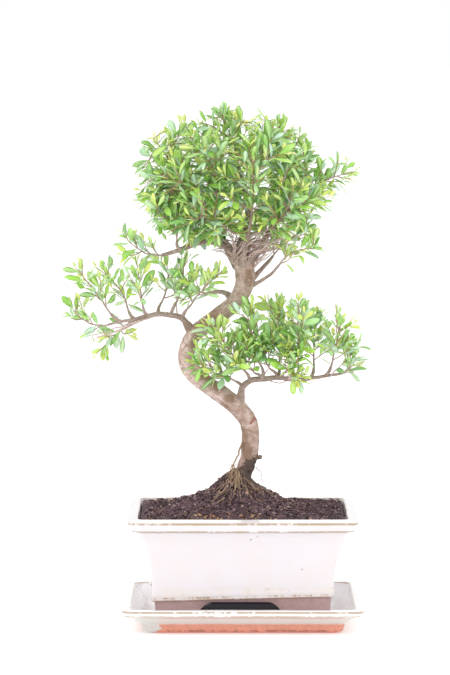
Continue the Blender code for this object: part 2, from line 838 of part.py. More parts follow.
def grow_leaf(bm, face, leaf):
    """Extrudes a twig's face into a leaf."""
    centre = face.calc_center_median()
    corners = [(vert.co - centre).normalized() for vert in face.verts]
    square = [leaf.across + leaf.normal, leaf.normal - leaf.across, -leaf.across - leaf.normal]
    square.append(leaf.across - leaf.normal)
    shift = max(range(4), key=lambda s: sum(corners[k].dot(square[(k + s) % 4]) for k in range(4)))
    for ring in leaf.rings():
        face = extrude_to(bm, face, [ring[(k + shift) % 4] for k in range(4)])
    face = extrude_to(bm, face, [vert.co.copy() for vert in face.verts])
    bmesh.ops.pointmerge(bm, verts=list(face.verts), merge_co=leaf.tip())


def leaf_from(face, twig_direction, size, chance):
    """Leaves that this face could carry, the likeliest first."""
    centre = face.calc_center_median()
    for attempt in range(TRIES):
        spread = 0.9 if attempt == 0 else chance.uniform(0.5, 1.3)
        lift = 0.15 if attempt == 0 else chance.uniform(-0.3, 0.5)
        roll = Vector([chance.uniform(-0.3, 0.3) for _ in range(3)])
        axis = face.normal * spread + twig_direction * 0.8 + UP * lift + roll * 0.6
        upper = twig_direction + UP * 0.7 - face.normal * 0.2 + roll
        yield Leaf(centre, axis, upper, size * chance.uniform(0.8, 1.1))


class Spray:
    """A twig with pairs of leaves, each pair turned a quarter from the one before."""

    def __init__(self, space, chance):
        self.bm = bmesh.new()
        self.space = space
        self.own = Space()
        self.chance = chance
        self.leaves = 0

    def free(self, points, faces):
        """Whether a shape is clear of the other pieces and of this spray."""
        return self.space.is_free(points, faces) and self.own.is_free(points, faces)

    def add_leaf(self, face, direction, size):
        """Grows a leaf from the face if one of its likely places is free."""
        face.normal_update()
        for leaf in leaf_from(face, direction, size, self.chance):
            points, faces = leaf.clearance(0.14)
            if self.own.is_free(points, faces) and self.space.is_free(*leaf.clearance(0.0)):
                grow_leaf(self.bm, face, leaf)
                self.own.add(points, faces)
                self.leaves += 1
                return True
        return False

    def twig_shell(self, line, start, radius):
        """The twig's shape grown by the clearance, from start to its end."""
        rings = []
        for k in range(9):
            distance = start + (line.length - start) * k / 8
            direction = line.towards(distance)
            rings.append(ring_round(line.at(distance), direction, UP.cross(direction), radius + CLEARANCE, 4))
        return shell_of(rings)

    def choose_line(self, start, direction, tip):
        """A curved line to the tip, or near it if the straight way is taken."""
        reach = tip - start
        for attempt in range(4 * TRIES):
            stray = 0.04 * attempt * reach.length
            end = tip + Vector([self.chance.uniform(-stray, stray) for _ in range(3)])
            bend = start + direction * reach.length * 0.3
            middle = start.lerp(end, 0.6) + UP * 0.05 * reach.length
            line = Line([start, bend.lerp(start.lerp(end, 0.3), 0.5), middle, end])
            points, faces = self.twig_shell(line, 2 * MM, TWIG_RADIUS)
            if self.space.is_free(points, faces):
                self.own.add(points, faces)
                return line
        raise ValueError("no free way for a spray's twig")

    def grow_side_twig(self, face, direction):
        """A short twig with one pair of leaves and a leaf at its end."""
        face.normal_update()
        centre = face.calc_center_median()
        for attempt in range(TRIES):
            stray = Vector([self.chance.uniform(-0.3, 0.3) for _ in range(3)]) * (attempt / 3)
            way = (face.normal * 0.8 + direction * 0.9 + UP * 0.2 + stray).normalized()
            line = Line([centre, centre + way * SIDE_TWIG * 0.5, centre + way * SIDE_TWIG])
            points, faces = self.twig_shell(line, 3 * MM, TWIG_END_RADIUS)
            if not self.free(points, faces):
                continue
            places = [SIDE_TWIG * 0.55, SIDE_TWIG * 0.55 + 2 * NODE_HALF, SIDE_TWIG]
            end, segments = grow_tube(self.bm, face, line, places, lambda _: TWIG_END_RADIUS)
            for side in (0, 2):
                self.add_leaf(segments[1][1][side], way, 0.85)
            self.own.add(points, faces)
            self.add_leaf(end, way, 0.85)
            return True
        return False

    def grow(self, start, direction, tip, radius):
        """Grows the whole spray from just beyond the end of the wood that carries it."""
        begin = start + direction * GAP
        line = self.choose_line(begin, direction, tip)
        across = direction.orthogonal()
        thick = min(radius, TWIG_RADIUS)
        low = ring_round(begin, direction, across, thick, 4)
        high = ring_round(begin + direction * 0.6 * MM, direction, across, thick, 4)
        face = start_prism(self.bm, low, high)
        pairs = max(2, round(line.length / NODE_SPACING))
        marks = [line.length * (k + 0.8) / (pairs + 0.6) for k in range(pairs)]
        stations = []
        for mark in marks:
            stations += [mark - NODE_HALF, mark + NODE_HALF]
        stations.append(line.length)

        def radius_at(distance):
            return thick + (TWIG_END_RADIUS - thick) * distance / line.length

        end, segments = grow_tube(self.bm, face, line, stations, radius_at)
        for number, mark in enumerate(marks):
            sides = segments[2 * number + 1][1]
            for side in (number % 2, number % 2 + 2):
                way = line.towards(mark)
                wants_twig = number == pairs // 2 and side < 2
                if wants_twig and self.grow_side_twig(sides[side], way):
                    continue
                self.add_leaf(sides[side], way, 1.0 - 0.25 * number / pairs)
        self.add_leaf(end, line.towards(line.length), 0.8)
        bmesh.ops.recalc_face_normals(self.bm, faces=self.bm.faces)
        return self.bm


def main():
    """Builds every piece."""
    clear_scene()
    build_tray()
    build_pot()
    build_screen("drain_screen_left", -DRAIN_SPACING / 2)
    build_screen("drain_screen_right", DRAIN_SPACING / 2)
    build_soil()
    cutter = trunk_cutter("trunk_room", GAP)
    trunk = add_object("trunk", trunk_bmesh(), "bark")
    space = Space()
    space.add_object(trunk)
    carried = []
    for name, limb in LIMBS.items():
        obj, sprays = build_limb(name, limb, cutter)
        space.add_object(obj)
        for number, spray in enumerate(sprays, 1):
            carried.append((name, number, spray, space.add(*stub_shell(*spray[:2]))))
    for name, number, (start, direction, tip, radius), reserved in carried:
        space.release(reserved)
        chance = random.Random(f"{name} {number}")
        spray = Spray(space, chance)
        bm = spray.grow(start, direction, tip, radius)
        stem = name.replace("_branch", "").replace("_limb", "")
        obj = add_object(f"{stem}_spray_{number}", bm, "leaf")
        space.add_object(obj)


if __name__ == "__main__":
    main()
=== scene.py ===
"""The finished look of a bonsai tree in a cream-glazed pot on its drip tray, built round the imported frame.

Every surface is a function of two parameters, worked out as whole numpy arrays: a profile carried round a
rounded rectangle for the ceramics and the soil, and a ring carried along a path for wood and leaves. Lengths
are in metres, except in the routes, which are in millimetres.
"""

import logging
import math
from dataclasses import dataclass, field
from enum import Enum

import bpy
import numpy as np
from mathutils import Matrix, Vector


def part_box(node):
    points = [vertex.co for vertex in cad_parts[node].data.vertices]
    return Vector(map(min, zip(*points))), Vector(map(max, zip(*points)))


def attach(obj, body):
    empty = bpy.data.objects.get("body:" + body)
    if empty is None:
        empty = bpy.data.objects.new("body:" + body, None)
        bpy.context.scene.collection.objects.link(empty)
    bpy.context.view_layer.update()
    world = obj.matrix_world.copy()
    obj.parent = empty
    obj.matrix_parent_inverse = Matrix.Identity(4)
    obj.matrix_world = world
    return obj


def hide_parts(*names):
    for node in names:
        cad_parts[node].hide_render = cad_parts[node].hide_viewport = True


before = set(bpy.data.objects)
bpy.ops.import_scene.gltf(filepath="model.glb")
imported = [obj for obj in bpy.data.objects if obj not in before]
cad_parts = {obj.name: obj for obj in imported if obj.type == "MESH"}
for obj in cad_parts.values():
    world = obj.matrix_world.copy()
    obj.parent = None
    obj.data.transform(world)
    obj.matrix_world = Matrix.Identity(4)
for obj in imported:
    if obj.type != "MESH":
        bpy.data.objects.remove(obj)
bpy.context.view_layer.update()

LOG = logging.getLogger("bonsai")
MM = 0.001
GOLDEN_ANGLE = 2.39996
BODY = "root"
UP = np.array((0.0, 0.0, 1.0))
Array = np.ndarray
Point = tuple[float, float, float]


# Noise.


def hashed(cells: Array, seed: int) -> Array:
    """Gives each integer cell a value from 0 to 1, by multiplying and shifting its three indices.

    Args:
        cells: Whole numbers, shape (..., 3).
        seed: Chooses another set of values.

    Returns:
        The values, shape (...).
    """
    x, y, z = (cells[..., axis].astype(np.int64) for axis in range(3))
    mixed = (x * 374761393 + y * 668265263 + z * 1440662683 + seed * 974711) & 0xFFFFFFFF
    mixed = ((mixed ^ (mixed >> 13)) * 1274126177) & 0xFFFFFFFF
    return ((mixed ^ (mixed >> 16)) & 0xFFFF) / 65535.0


def noise(points: Array, size: float, seed: int = 0) -> Array:
    """Smooth noise: the values of the eight cells round each point, blended with a cubic ease.

    Args:
        points: Places, shape (..., 3).
        size: Width of a cell.
        seed: Chooses another pattern.

    Returns:
        Values from -1 to 1, shape (...).
    """
    scaled = np.asarray(points) / size
    cell = np.floor(scaled).astype(np.int64)
    part = scaled - cell
    part = part * part * (3 - 2 * part)
    total = np.zeros(scaled.shape[:-1])
    for corner in np.ndindex(2, 2, 2):
        weight = np.prod(np.where(corner, part, 1 - part), axis=-1)
        total += weight * hashed(cell + np.array(corner), seed)
    return total * 2 - 1


def layered(points: Array, size: float, layers: int, seed: int = 0) -> Array:
    """Sum of noises, each with half the cell and half the strength of the one before."""
    return sum(noise(points, size / 2**k, seed + k) / 2**k for k in range(layers))


def unit(vectors: Array) -> Array:
    """Vectors scaled to length one."""
    return vectors / np.maximum(np.linalg.norm(vectors, axis=-1, keepdims=True), 1e-12)


def ease(value: Array, low: float, high: float) -> Array:
    """0 below low, 1 above high, and a smooth cubic between."""
    share = np.clip((value - low) / (high - low), 0, 1)
    return share * share * (3 - 2 * share)


def node_box(name: str) -> tuple[Array, Array]:
    """Lowest and highest corner of a CAD node's box."""
    low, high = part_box(name)
    return np.array(low), np.array(high)


# Meshes.


def make_piece(name: str, points: Array, faces: list[Array], **values: Array) -> bpy.types.Object:
    """Puts arrays into a smooth-shaded mesh object at the origin.

    Args:
        name: The object's name.
        points: Vertex places, shape (n, 3).
        faces: Arrays of vertex numbers, one array for each number of corners.
        values: One number for each vertex, stored as a point attribute of that name.

    Returns:
        The new object.
    """
    mesh = bpy.data.meshes.new(name)
    loops = np.concatenate([block.ravel() for block in faces]).astype(np.int32)
    sizes = np.concatenate([np.full(len(block), block.shape[1]) for block in faces]).astype(np.int32)
    mesh.vertices.add(len(points))
    mesh.vertices.foreach_set("co", np.ascontiguousarray(points, dtype=np.float32).ravel())
    mesh.loops.add(len(loops))
    mesh.loops.foreach_set("vertex_index", loops)
    mesh.polygons.add(len(sizes))
    mesh.polygons.foreach_set("loop_start", (np.cumsum(sizes) - sizes).astype(np.int32))
    mesh.polygons.foreach_set("loop_total", sizes)
    mesh.polygons.foreach_set("use_smooth", np.ones(len(sizes), dtype=bool))
    mesh.update(calc_edges=True)
    for key, numbers in values.items():
        layer = mesh.attributes.new(key, "FLOAT", "POINT")
        layer.data.foreach_set("value", np.ascontiguousarray(numbers, dtype=np.float32).ravel())
    piece = bpy.data.objects.new(name, mesh)
    bpy.context.scene.collection.objects.link(piece)
    return piece


def skin(copies: int, rows: int, columns: int) -> list[Array]:
    """Faces of closed tubes whose rings are stored row by row, followed by their first and last pole.

    Args:
        copies: Number of tubes, one after another.
        rows: Rings in each tube.
        columns: Vertices in each ring.

    Returns:
        The quads between the rings, and the triangles to the two poles.
    """
    row = np.arange(rows - 1)[:, None] * columns
    here = np.arange(columns)
    after = (here + 1) % columns
    quads = np.stack([row + here, row + after, row + after + columns, row + here + columns], -1)
    last = (rows - 1) * columns
    first_pole = np.stack([after, here, np.full(columns, rows * columns)], -1)
    last_pole = np.stack([last + here, last + after, np.full(columns, rows * columns + 1)], -1)
    shift = np.arange(copies)[:, None, None] * (rows * columns + 2)
    tris = np.concatenate([first_pole, last_pole])
    return [(quads.reshape(-1, 4) + shift).reshape(-1, 4), (tris + shift).reshape(-1, 3)]


def frames_along(paths: Array) -> tuple[Array, Array, Array]:
    """Tangent, side and upper direction at each station: the side is the axis that the path meets least,
    with its part along the tangent taken out.

    Args:
        paths: Stations, shape (n, stations, 3).

    Returns:
        Three arrays of unit vectors, each shaped like paths.
    """
    tangent = unit(np.gradient(paths, axis=1))
    axis = np.eye(3)[np.argmin(np.abs(tangent).max(axis=1), axis=1)][:, None, :]
    side = unit(axis - np.sum(axis * tangent, -1, keepdims=True) * tangent)
    return tangent, side, np.cross(tangent, side)


def carry_ring(paths: Array, radii: Array, columns: int) -> Array:
    """Rings carried along paths: station + radius x (side x cos a + upper x sin a), and a pole at each end.

    Args:
        paths: Stations, shape (n, stations, 3).
        radii: Radius of each station, shape (n, stations), or of each ring vertex, (n, stations, columns).
        columns: Vertices in a ring.

    Returns:
        Points in skin()'s order, shape (n, stations x columns + 2, 3).
    """
    tangent, side, upper = frames_along(paths)
    angle = np.arange(columns) * (2 * math.pi / columns)
    radii = radii if radii.ndim == 3 else radii[..., None]
    circle = side[..., None, :] * np.cos(angle)[:, None] + upper[..., None, :] * np.sin(angle)[:, None]
    rings = paths[..., None, :] + radii[..., None] * circle
    ends = radii.mean(axis=-1)[..., None] * 0.6
    first = paths[:, 0] - tangent[:, 0] * ends[:, 0]
    last = paths[:, -1] + tangent[:, -1] * ends[:, -1]
    return np.concatenate([rings.reshape(len(paths), -1, 3), np.stack([first, last], 1)], axis=1)


def smooth_route(points: Array, stations: int) -> Array:
    """A Catmull-Rom curve through the points, cut into stations at equal distances along it.

    Args:
        points: The points, shape (n, 3).
        stations: Number of stations.

    Returns:
        The stations, shape (stations, 3).
    """
    points = np.asarray(points, dtype=float)
    padded = np.vstack([2 * points[0] - points[1], points, 2 * points[-1] - points[-2]])
    a, b, c, d = (padded[k:len(padded) - 3 + k, None, :] for k in range(4))
    t = np.linspace(0, 1, 24, endpoint=False)[None, :, None]
    curve = 0.5 * (2 * b + (c - a) * t + (2 * a - 5 * b + 4 * c - d) * t**2 + (3 * b - a - 3 * c + d) * t**3)
    curve = np.vstack([curve.reshape(-1, 3), points[-1]])
    along = np.concatenate([[0], np.cumsum(np.linalg.norm(np.diff(curve, axis=0), axis=1))])
    wanted = np.linspace(0, along[-1], stations)
    return np.stack([np.interp(wanted, along, curve[:, axis]) for axis in range(3)], -1)


def arcs(start: Array, way: Array, end: Array, stations: int) -> Array:
    """Quadratic curves from start, leaving along way, to end: the blend of the three with weights
    (1-t)^2, 2t(1-t) and t^2.

    Args:
        start: First points, shape (n, 3).
        way: Unit directions that the curves leave along, shape (n, 3).
        end: Last points, shape (n, 3).
        stations: Points on each curve.

    Returns:
        The curves, shape (n, stations, 3).
    """
    reach = np.linalg.norm(end - start, axis=-1, keepdims=True)
    middle = start + way * reach * 0.5
    t = np.linspace(0, 1, stations)[None, :, None]
    return start[:, None] * (1 - t) ** 2 + middle[:, None] * 2 * t * (1 - t) + end[:, None] * t**2


# Node graphs.


class Graph:
    """Adds nodes to a tree and joins them."""

    def __init__(self, tree: bpy.types.NodeTree) -> None:
        """Keeps the tree that the nodes go into."""
        self.tree = tree

    def add(self, kind: str, inputs: dict | None = None, **settings: object) -> bpy.types.Node:
        """Adds a node.

        Args:
            kind: The node's type, without its "ShaderNode" prefix.
            inputs: Socket name or number to a value, or to a socket that is joined to it.
            settings: The node's own settings.

        Returns:
            The node.
        """
        node = self.tree.nodes.new("ShaderNode" + kind)
        for key, value in settings.items():
            setattr(node, key, value)
        for key, value in (inputs or {}).items():
            self.put(node.inputs[key], value)
        return node

    def put(self, target: bpy.types.NodeSocket, value: object) -> None:
        """Joins a socket to the target, or sets the target to a plain value.

        Args:
            target: The input that takes the value.
            value: A socket or a plain value.
        """
        if isinstance(value, bpy.types.NodeSocket):
            self.tree.links.new(value, target)
        else:
            target.default_value = value

    def math(self, operation: str, *values: object) -> bpy.types.NodeSocket:
        """The result of a Math node, held between 0 and 1."""
        node = self.add("Math", dict(enumerate(values)), operation=operation, use_clamp=True)
        return node.outputs[0]

    def mix(self, share: object, first: object, second: object, how: str = "MIX") -> bpy.types.NodeSocket:
        """A colour between first and second.

        Args:
            share: 0 for the first colour, 1 for the second.
            first: A colour or a socket.
            second: A colour or a socket.
            how: The kind of blend.

        Returns:
            The colour's socket.
        """
        node = self.add("Mix", data_type="RGBA", blend_type=how, clamp_factor=True)
        for socket, value in zip((node.inputs[0], node.inputs[6], node.inputs[7]), (share, first, second)):
            self.put(socket, value)
        return node.outputs[2]

    def tint(self, colour: object, over: tuple, mask: object, strength: float) -> bpy.types.NodeSocket:
        """The colour, with another laid over it.

        Args:
            colour: The colour underneath.
            over: Red, green and blue of the colour on top.
            mask: Where the top colour lies.
            strength: How much of it is laid on where the mask is 1.

        Returns:
            The colour's socket.
        """
        return self.mix(self.math("MULTIPLY", mask, strength), colour, (*over, 1))

    def span(self, value: object, low: float, high: float) -> bpy.types.NodeSocket:
        """0 where value is under low, 1 where it is over high, eased between."""
        limits = {0: value, 1: low, 2: high, 3: 0.0, 4: 1.0}
        return self.add("MapRange", limits, interpolation_type="SMOOTHSTEP").outputs[0]

    def ramp(self, value: object, *stops: tuple[float, tuple]) -> bpy.types.NodeSocket:
        """A colour ramp.

        Args:
            value: What the ramp reads.
            stops: The place and the colour of each stop.

        Returns:
            The colour's socket.
        """
        node = self.add("ValToRGB", {0: value})
        elements = node.color_ramp.elements
        while len(elements) < len(stops):
            elements.new(0.5)
        for element, (place, colour) in zip(elements, stops):
            element.position = place
            element.color = (*colour, 1.0)
        return node.outputs[0]

    def attribute(self, name: str) -> bpy.types.NodeSocket:
        """A number that the mesh stores for each vertex."""
        return self.add("Attribute", attribute_name=name, attribute_type="GEOMETRY").outputs["Fac"]

    def place(self) -> bpy.types.NodeSocket:
        """Object coordinates."""
        return self.add("TexCoord").outputs["Object"]

    def noise(self, vector: object, scale: float, detail: float = 3.0,
              rough: float = 0.5) -> bpy.types.NodeSocket:
        """A noise texture's value."""
        inputs = {"Vector": vector, "Scale": scale, "Detail": detail, "Roughness": rough}
        return self.add("TexNoise", inputs).outputs["Fac"]


def new_group(name: str, inputs: dict[str, tuple[str, object]], output: str) -> tuple[Graph, dict, object]:
    """Starts a node group with named inputs and one output that is a number.

    Args:
        name: The group's name.
        inputs: Socket name to its kind, such as "Float" or "Vector", and its default.
        output: Name of the output.

    Returns:
        The group's graph, its input sockets by name, and the output's socket.
    """
    tree = bpy.data.node_groups.new(name, "ShaderNodeTree")
    for key, (kind, default) in inputs.items():
        socket = tree.interface.new_socket(key, in_out="INPUT", socket_type="NodeSocket" + kind)
        if default is not None:
            socket.default_value = default
    tree.interface.new_socket(output, in_out="OUTPUT", socket_type="NodeSocketFloat")
    entry, leave = tree.nodes.new("NodeGroupInput"), tree.nodes.new("NodeGroupOutput")
    return Graph(tree), {key: entry.outputs[key] for key in inputs}, leave.inputs[output]


def mottle_group() -> bpy.types.NodeTree:
    """Soft patches: the mean of two noises, cut between two levels."""
    sockets = {"Vector": ("Vector", None), "Scale": ("Float", 50.0),
               "Low": ("Float", 0.4), "High": ("Float", 0.6)}
    graph, given, out = new_group("mottle", sockets, "Mask")
    broad = graph.add("TexNoise", {"Vector": given["Vector"], "Scale": given["Scale"], "Detail": 5.0})
    twice = graph.add("Math", {0: given["Scale"], 1: 3.7}, operation="MULTIPLY").outputs[0]
    fine = graph.add("TexNoise", {"Vector": given["Vector"], "Scale": twice, "Detail": 3.0})
    both = graph.add("Math", {0: broad.outputs["Fac"], 1: fine.outputs["Fac"]}, operation="ADD").outputs[0]
    half = graph.add("Math", {0: both, 1: 0.5}, operation="MULTIPLY").outputs[0]
    cut = graph.add("MapRange", {0: half, 1: given["Low"], 2: given["High"]}, interpolation_type="SMOOTHSTEP")
    graph.put(out, cut.outputs[0])
    return graph.tree


def speckle_group() -> bpy.types.NodeTree:
    """Small round specks: the middles of some of a Voronoi pattern's cells."""
    sockets = {"Vector": ("Vector", None), "Scale": ("Float", 300.0),
               "Size": ("Float", 0.2), "Share": ("Float", 0.1)}
    graph, given, out = new_group("speckle", sockets, "Mask")
    cells = graph.add("TexVoronoi", {"Vector": given["Vector"], "Scale": given["Scale"]})
    chosen = graph.add("SeparateColor", {0: cells.outputs["Color"]}).outputs[0]
    wanted = graph.add("Math", {0: chosen, 1: given["Share"]}, operation="LESS_THAN").outputs[0]
    near = graph.add("MapRange", {0: cells.outputs["Distance"], 1: given["Size"], 2: 0.0, 3: 0.0, 4: 1.0})
    graph.put(out, graph.add("Math", {0: wanted, 1: near.outputs[0]}, operation="MULTIPLY").outputs[0])
    return graph.tree


class Finish:
    """A material in the making: its graph, its shader, and the node groups that finishes share."""

    groups: dict[str, bpy.types.NodeTree] = {}

    def __init__(self, name: str) -> None:
        """Starts a material with a plain Principled shader.

        Args:
            name: The material's name.
        """
        self.material = bpy.data.materials.new(name)
        self.material.use_nodes = True
        self.graph = Graph(self.material.node_tree)
        self.shader = self.material.node_tree.nodes["Principled BSDF"]

    def group(self, name: str, **inputs: object) -> bpy.types.NodeSocket:
        """Places a shared group, which is built once.

        Args:
            name: The group's name.
            inputs: Values of its sockets.

        Returns:
            The group's mask.
        """
        makers = {"mottle": mottle_group, "speckle": speckle_group}
        if name not in Finish.groups:
            Finish.groups[name] = makers[name]()
        node = self.graph.add("Group", node_tree=Finish.groups[name])
        for key, value in inputs.items():
            self.graph.put(node.inputs[key], value)
        return node.outputs["Mask"]

    def set(self, **sockets: object) -> None:
        """Sets shader sockets. An underscore in a name stands for a space."""
        for key, value in sockets.items():
            self.graph.put(self.shader.inputs[key.replace("_", " ")], value)

    def bump(self, height: object, distance: float, strength: float = 1.0, under: object = None) -> object:
        """A Bump node's normal.

        Args:
            height: The relief's height, 0 to 1.
            distance: Depth of the relief in metres.
            strength: How strongly it shows.
            under: Another normal that it lies on, if any.

        Returns:
            The normal's socket.
        """
        inputs = {"Height": height, "Distance": distance, "Strength": strength}
        if under is not None:
            inputs["Normal"] = under
        return self.graph.add("Bump", inputs).outputs["Normal"]


# Finishes.


@dataclass(frozen=True)
class GlazeFinish:
    """Cream glaze that thins to tan on edges, over a clay that shows where the piece is bare.

    The mesh stores "worn", 1 on an edge where the glaze breaks, "bare", 1 where there's no glaze, "dull", 1
    where the glaze has no life and where shade is painted on, and "dirt", 1 under a near-black matt painted
    shade.

    Args:
        name: The material's name.
        glaze: Its main colour.
        warm: Colour of its warmer patches.
        thin: Colour where it is worn thin.
        dull_and_shade: Colour of glaze with no life, also laid on as painted shade.
        clay: Colour of bare clay.
        pits: Share of the surface's cells that hold a dark pit.
    """

    name: str
    glaze: tuple = (0.80, 0.755, 0.795)
    warm: tuple = (0.80, 0.72, 0.65)
    thin: tuple = (0.40, 0.25, 0.13)
    dull_and_shade: tuple = (0.66, 0.63, 0.59)
    clay: tuple = (0.52, 0.355, 0.345)
    pits: float = 0.035

    def build(self) -> bpy.types.Material:
        """Makes the material."""
        made = Finish(self.name)
        graph, place = made.graph, made.graph.place()
        cloud = made.group("mottle", Vector=place, Scale=22.0, Low=0.38, High=0.68)
        drift = made.group("mottle", Vector=place, Scale=90.0, Low=0.35, High=0.65)
        specks = made.group("speckle", Vector=place, Scale=170.0, Size=0.22, Share=self.pits)
        grit = made.group("speckle", Vector=place, Scale=600.0, Size=0.5, Share=0.25)
        body = graph.tint((*self.glaze, 1), self.warm, cloud, 0.35)
        patchy = graph.math("MULTIPLY_ADD", cloud, 0.35, graph.math("MULTIPLY", drift, 0.35))
        worn_by = graph.add("Math", {0: graph.attribute("worn"), 1: 0.3}, operation="SUBTRACT").outputs[0]
        rough_edge = graph.math("ADD", worn_by, patchy)
        worn = graph.span(rough_edge, 0.72, 1.0)
        near = graph.math("MULTIPLY", graph.span(rough_edge, 0.2, 0.8), 0.55)
        body = graph.mix(near, body, (*self.warm, 1))
        body = graph.tint(body, self.thin, worn, 0.8)
        body = graph.tint(body, (0.12, 0.09, 0.08), specks, 0.9)
        darker, dark, sooty = ([share * part for part in self.clay] for share in (0.75, 0.5, 0.35))
        clay = graph.tint((*self.clay, 1), darker, drift, 0.5)
        clay = graph.tint(clay, dark, grit, 0.35)
        ragged = graph.math("ADD", graph.attribute("bare"), graph.math("MULTIPLY_ADD", drift, 0.3, -0.15))
        bare = graph.span(ragged, 0.45, 0.55)
        # Glaze with no life. On the tray's flared outside this colour is painted shade under the rim's
        # overhang.
        body = graph.mix(graph.attribute("dull_and_shade"), body, (*self.dull_and_shade, 1))
        # Painted shade: near-black and matt where the mesh asks for it, under the pot and low behind it.
        painted_shade = graph.attribute("painted_shade")
        body = graph.mix(painted_shade, body, (0.026, 0.020, 0.034, 1))
        clay = graph.tint(clay, sooty, worn, 0.6)
        matt = graph.math("MAXIMUM", bare, painted_shade)
        rough = graph.add("Mix", {0: matt, 2: 0.18, 3: 0.88}, data_type="FLOAT").outputs[0]
        wavy = made.bump(graph.noise(place, 55.0, 2.0), 0.0012, 0.25)
        pitted = made.bump(graph.math("SUBTRACT", 1.0, specks), 0.0004, 0.6, wavy)
        rough_clay = graph.math("MULTIPLY", graph.noise(place, 900.0, 4.0), bare)
        made.set(
            Base_Color=graph.mix(bare, body, clay),
            Roughness=rough,
            Normal=made.bump(rough_clay, 0.0004, 0.6, pitted),
            Coat_Weight=graph.math("SUBTRACT", 1.0, matt),
            Coat_Roughness=0.08,
        )
        return made.material


@dataclass(frozen=True)
class BarkFinish:
    """Smooth pinkish bark with darker patches, fine rings across the stem and rust-coloured scars.

    The mesh stores "along", the distance up the stem in metres, "scar", 1 on an old scar, and "stain", 1 in a
    brown stain.

    Args:
        name: The material's name.
        light: Its main colour.
        mid: Colour of its patches and rings.
        dark: Colour of its flecks.
        rust: Colour of its scars.
        brown: Colour of its blots and stains.
        soiled_below: Height in metres under which soil clings to it, or 0.
    """

    name: str
    light: tuple = (0.84, 0.665, 0.62)
    mid: tuple = (0.42, 0.275, 0.21)
    dark: tuple = (0.20, 0.125, 0.085)
    rust: tuple = (0.30, 0.10, 0.055)
    brown: tuple = (0.27, 0.165, 0.10)
    soiled_below: float = 0.0

    def build(self) -> bpy.types.Material:
        """Makes the material."""
        made = Finish(self.name)
        graph, place = made.graph, made.graph.place()
        patches = made.group("mottle", Vector=place, Scale=26.0, Low=0.42, High=0.66)
        flecks = made.group("mottle", Vector=place, Scale=330.0, Low=0.52, High=0.66)
        stretched = graph.add("Mapping", {"Vector": place, "Scale": (1.0, 1.0, 1.6)}).outputs[0]
        streaks = graph.noise(stretched, 150.0, 6.0, 0.65)
        rings = graph.add("CombineXYZ", {0: graph.attribute("along")}).outputs[0]
        bands = graph.noise(rings, 420.0, 2.0)
        colour = graph.mix(patches, (*self.light, 1), (*self.mid, 1))
        colour = graph.tint(colour, self.mid, graph.span(streaks, 0.47, 0.66), 0.6)
        blots = made.group("mottle", Vector=place, Scale=85.0, Low=0.51, High=0.60)
        colour = graph.tint(colour, self.brown, blots, 0.6)
        colour = graph.tint(colour, self.dark, flecks, 0.5)
        colour = graph.tint(colour, self.mid, graph.span(bands, 0.53, 0.70), 0.34)
        ragged = graph.math("MULTIPLY", graph.attribute("stain"), graph.math("ADD", streaks, 0.35))
        colour = graph.tint(colour, self.brown, graph.span(ragged, 0.25, 0.7), 0.85)
        dots = made.group("speckle", Vector=place, Scale=420.0, Size=0.42, Share=0.3)
        colour = graph.tint(colour, self.dark, dots, 0.6)
        fissures = graph.noise(stretched, 380.0, 5.0, 0.7)
        colour = graph.tint(colour, self.mid, graph.span(fissures, 0.5, 0.64), 0.6)
        pale = made.group("speckle", Vector=place, Scale=260.0, Size=0.45, Share=0.16)
        colour = graph.tint(colour, (0.86, 0.76, 0.70), pale, 0.6)
        healed = graph.math("ADD", graph.attribute("scar"), graph.math("MULTIPLY", flecks, 0.2))
        scar = graph.span(healed, 0.35, 0.8)
        colour = graph.tint(colour, self.rust, scar, 0.75)
        if self.soiled_below > 0:
            split = graph.add("SeparateXYZ", {0: place}).outputs
            parts = {0: split[0], 1: -0.8, 2: split[2]}
            slanted = graph.add("Math", parts, operation="MULTIPLY_ADD").outputs[0]
            drift = graph.noise(place, 130.0, 5.0, 0.65)
            level = graph.add("Math", {0: drift, 1: 0.045, 2: slanted}, operation="MULTIPLY_ADD").outputs[0]
            soiled = graph.span(level, self.soiled_below + 0.0245, self.soiled_below + 0.0205)
            rusty = graph.span(level, self.soiled_below + 0.034, self.soiled_below + 0.024)
            colour = graph.tint(colour, (0.24, 0.13, 0.085), rusty, 0.45)
            crumbs = graph.mix(streaks, (0.035, 0.022, 0.022, 1), (0.11, 0.065, 0.05, 1))
            colour = graph.mix(graph.math("MULTIPLY", soiled, 0.93), colour, crumbs)
        relief = made.bump(streaks, 0.0013, 0.85)
        relief = made.bump(fissures, 0.0006, 0.6, relief)
        relief = made.bump(bands, 0.0004, 0.35, relief)
        rough = graph.add("Mix", {0: flecks, 2: 0.62, 3: 0.85}, data_type="FLOAT").outputs[0]
        relief = made.bump(graph.math("SUBTRACT", pale, dots), 0.0004, 0.5, relief)
        made.set(Base_Color=colour, Roughness=rough, Normal=made.bump(flecks, 0.0003, 0.5, relief))
        return made.material


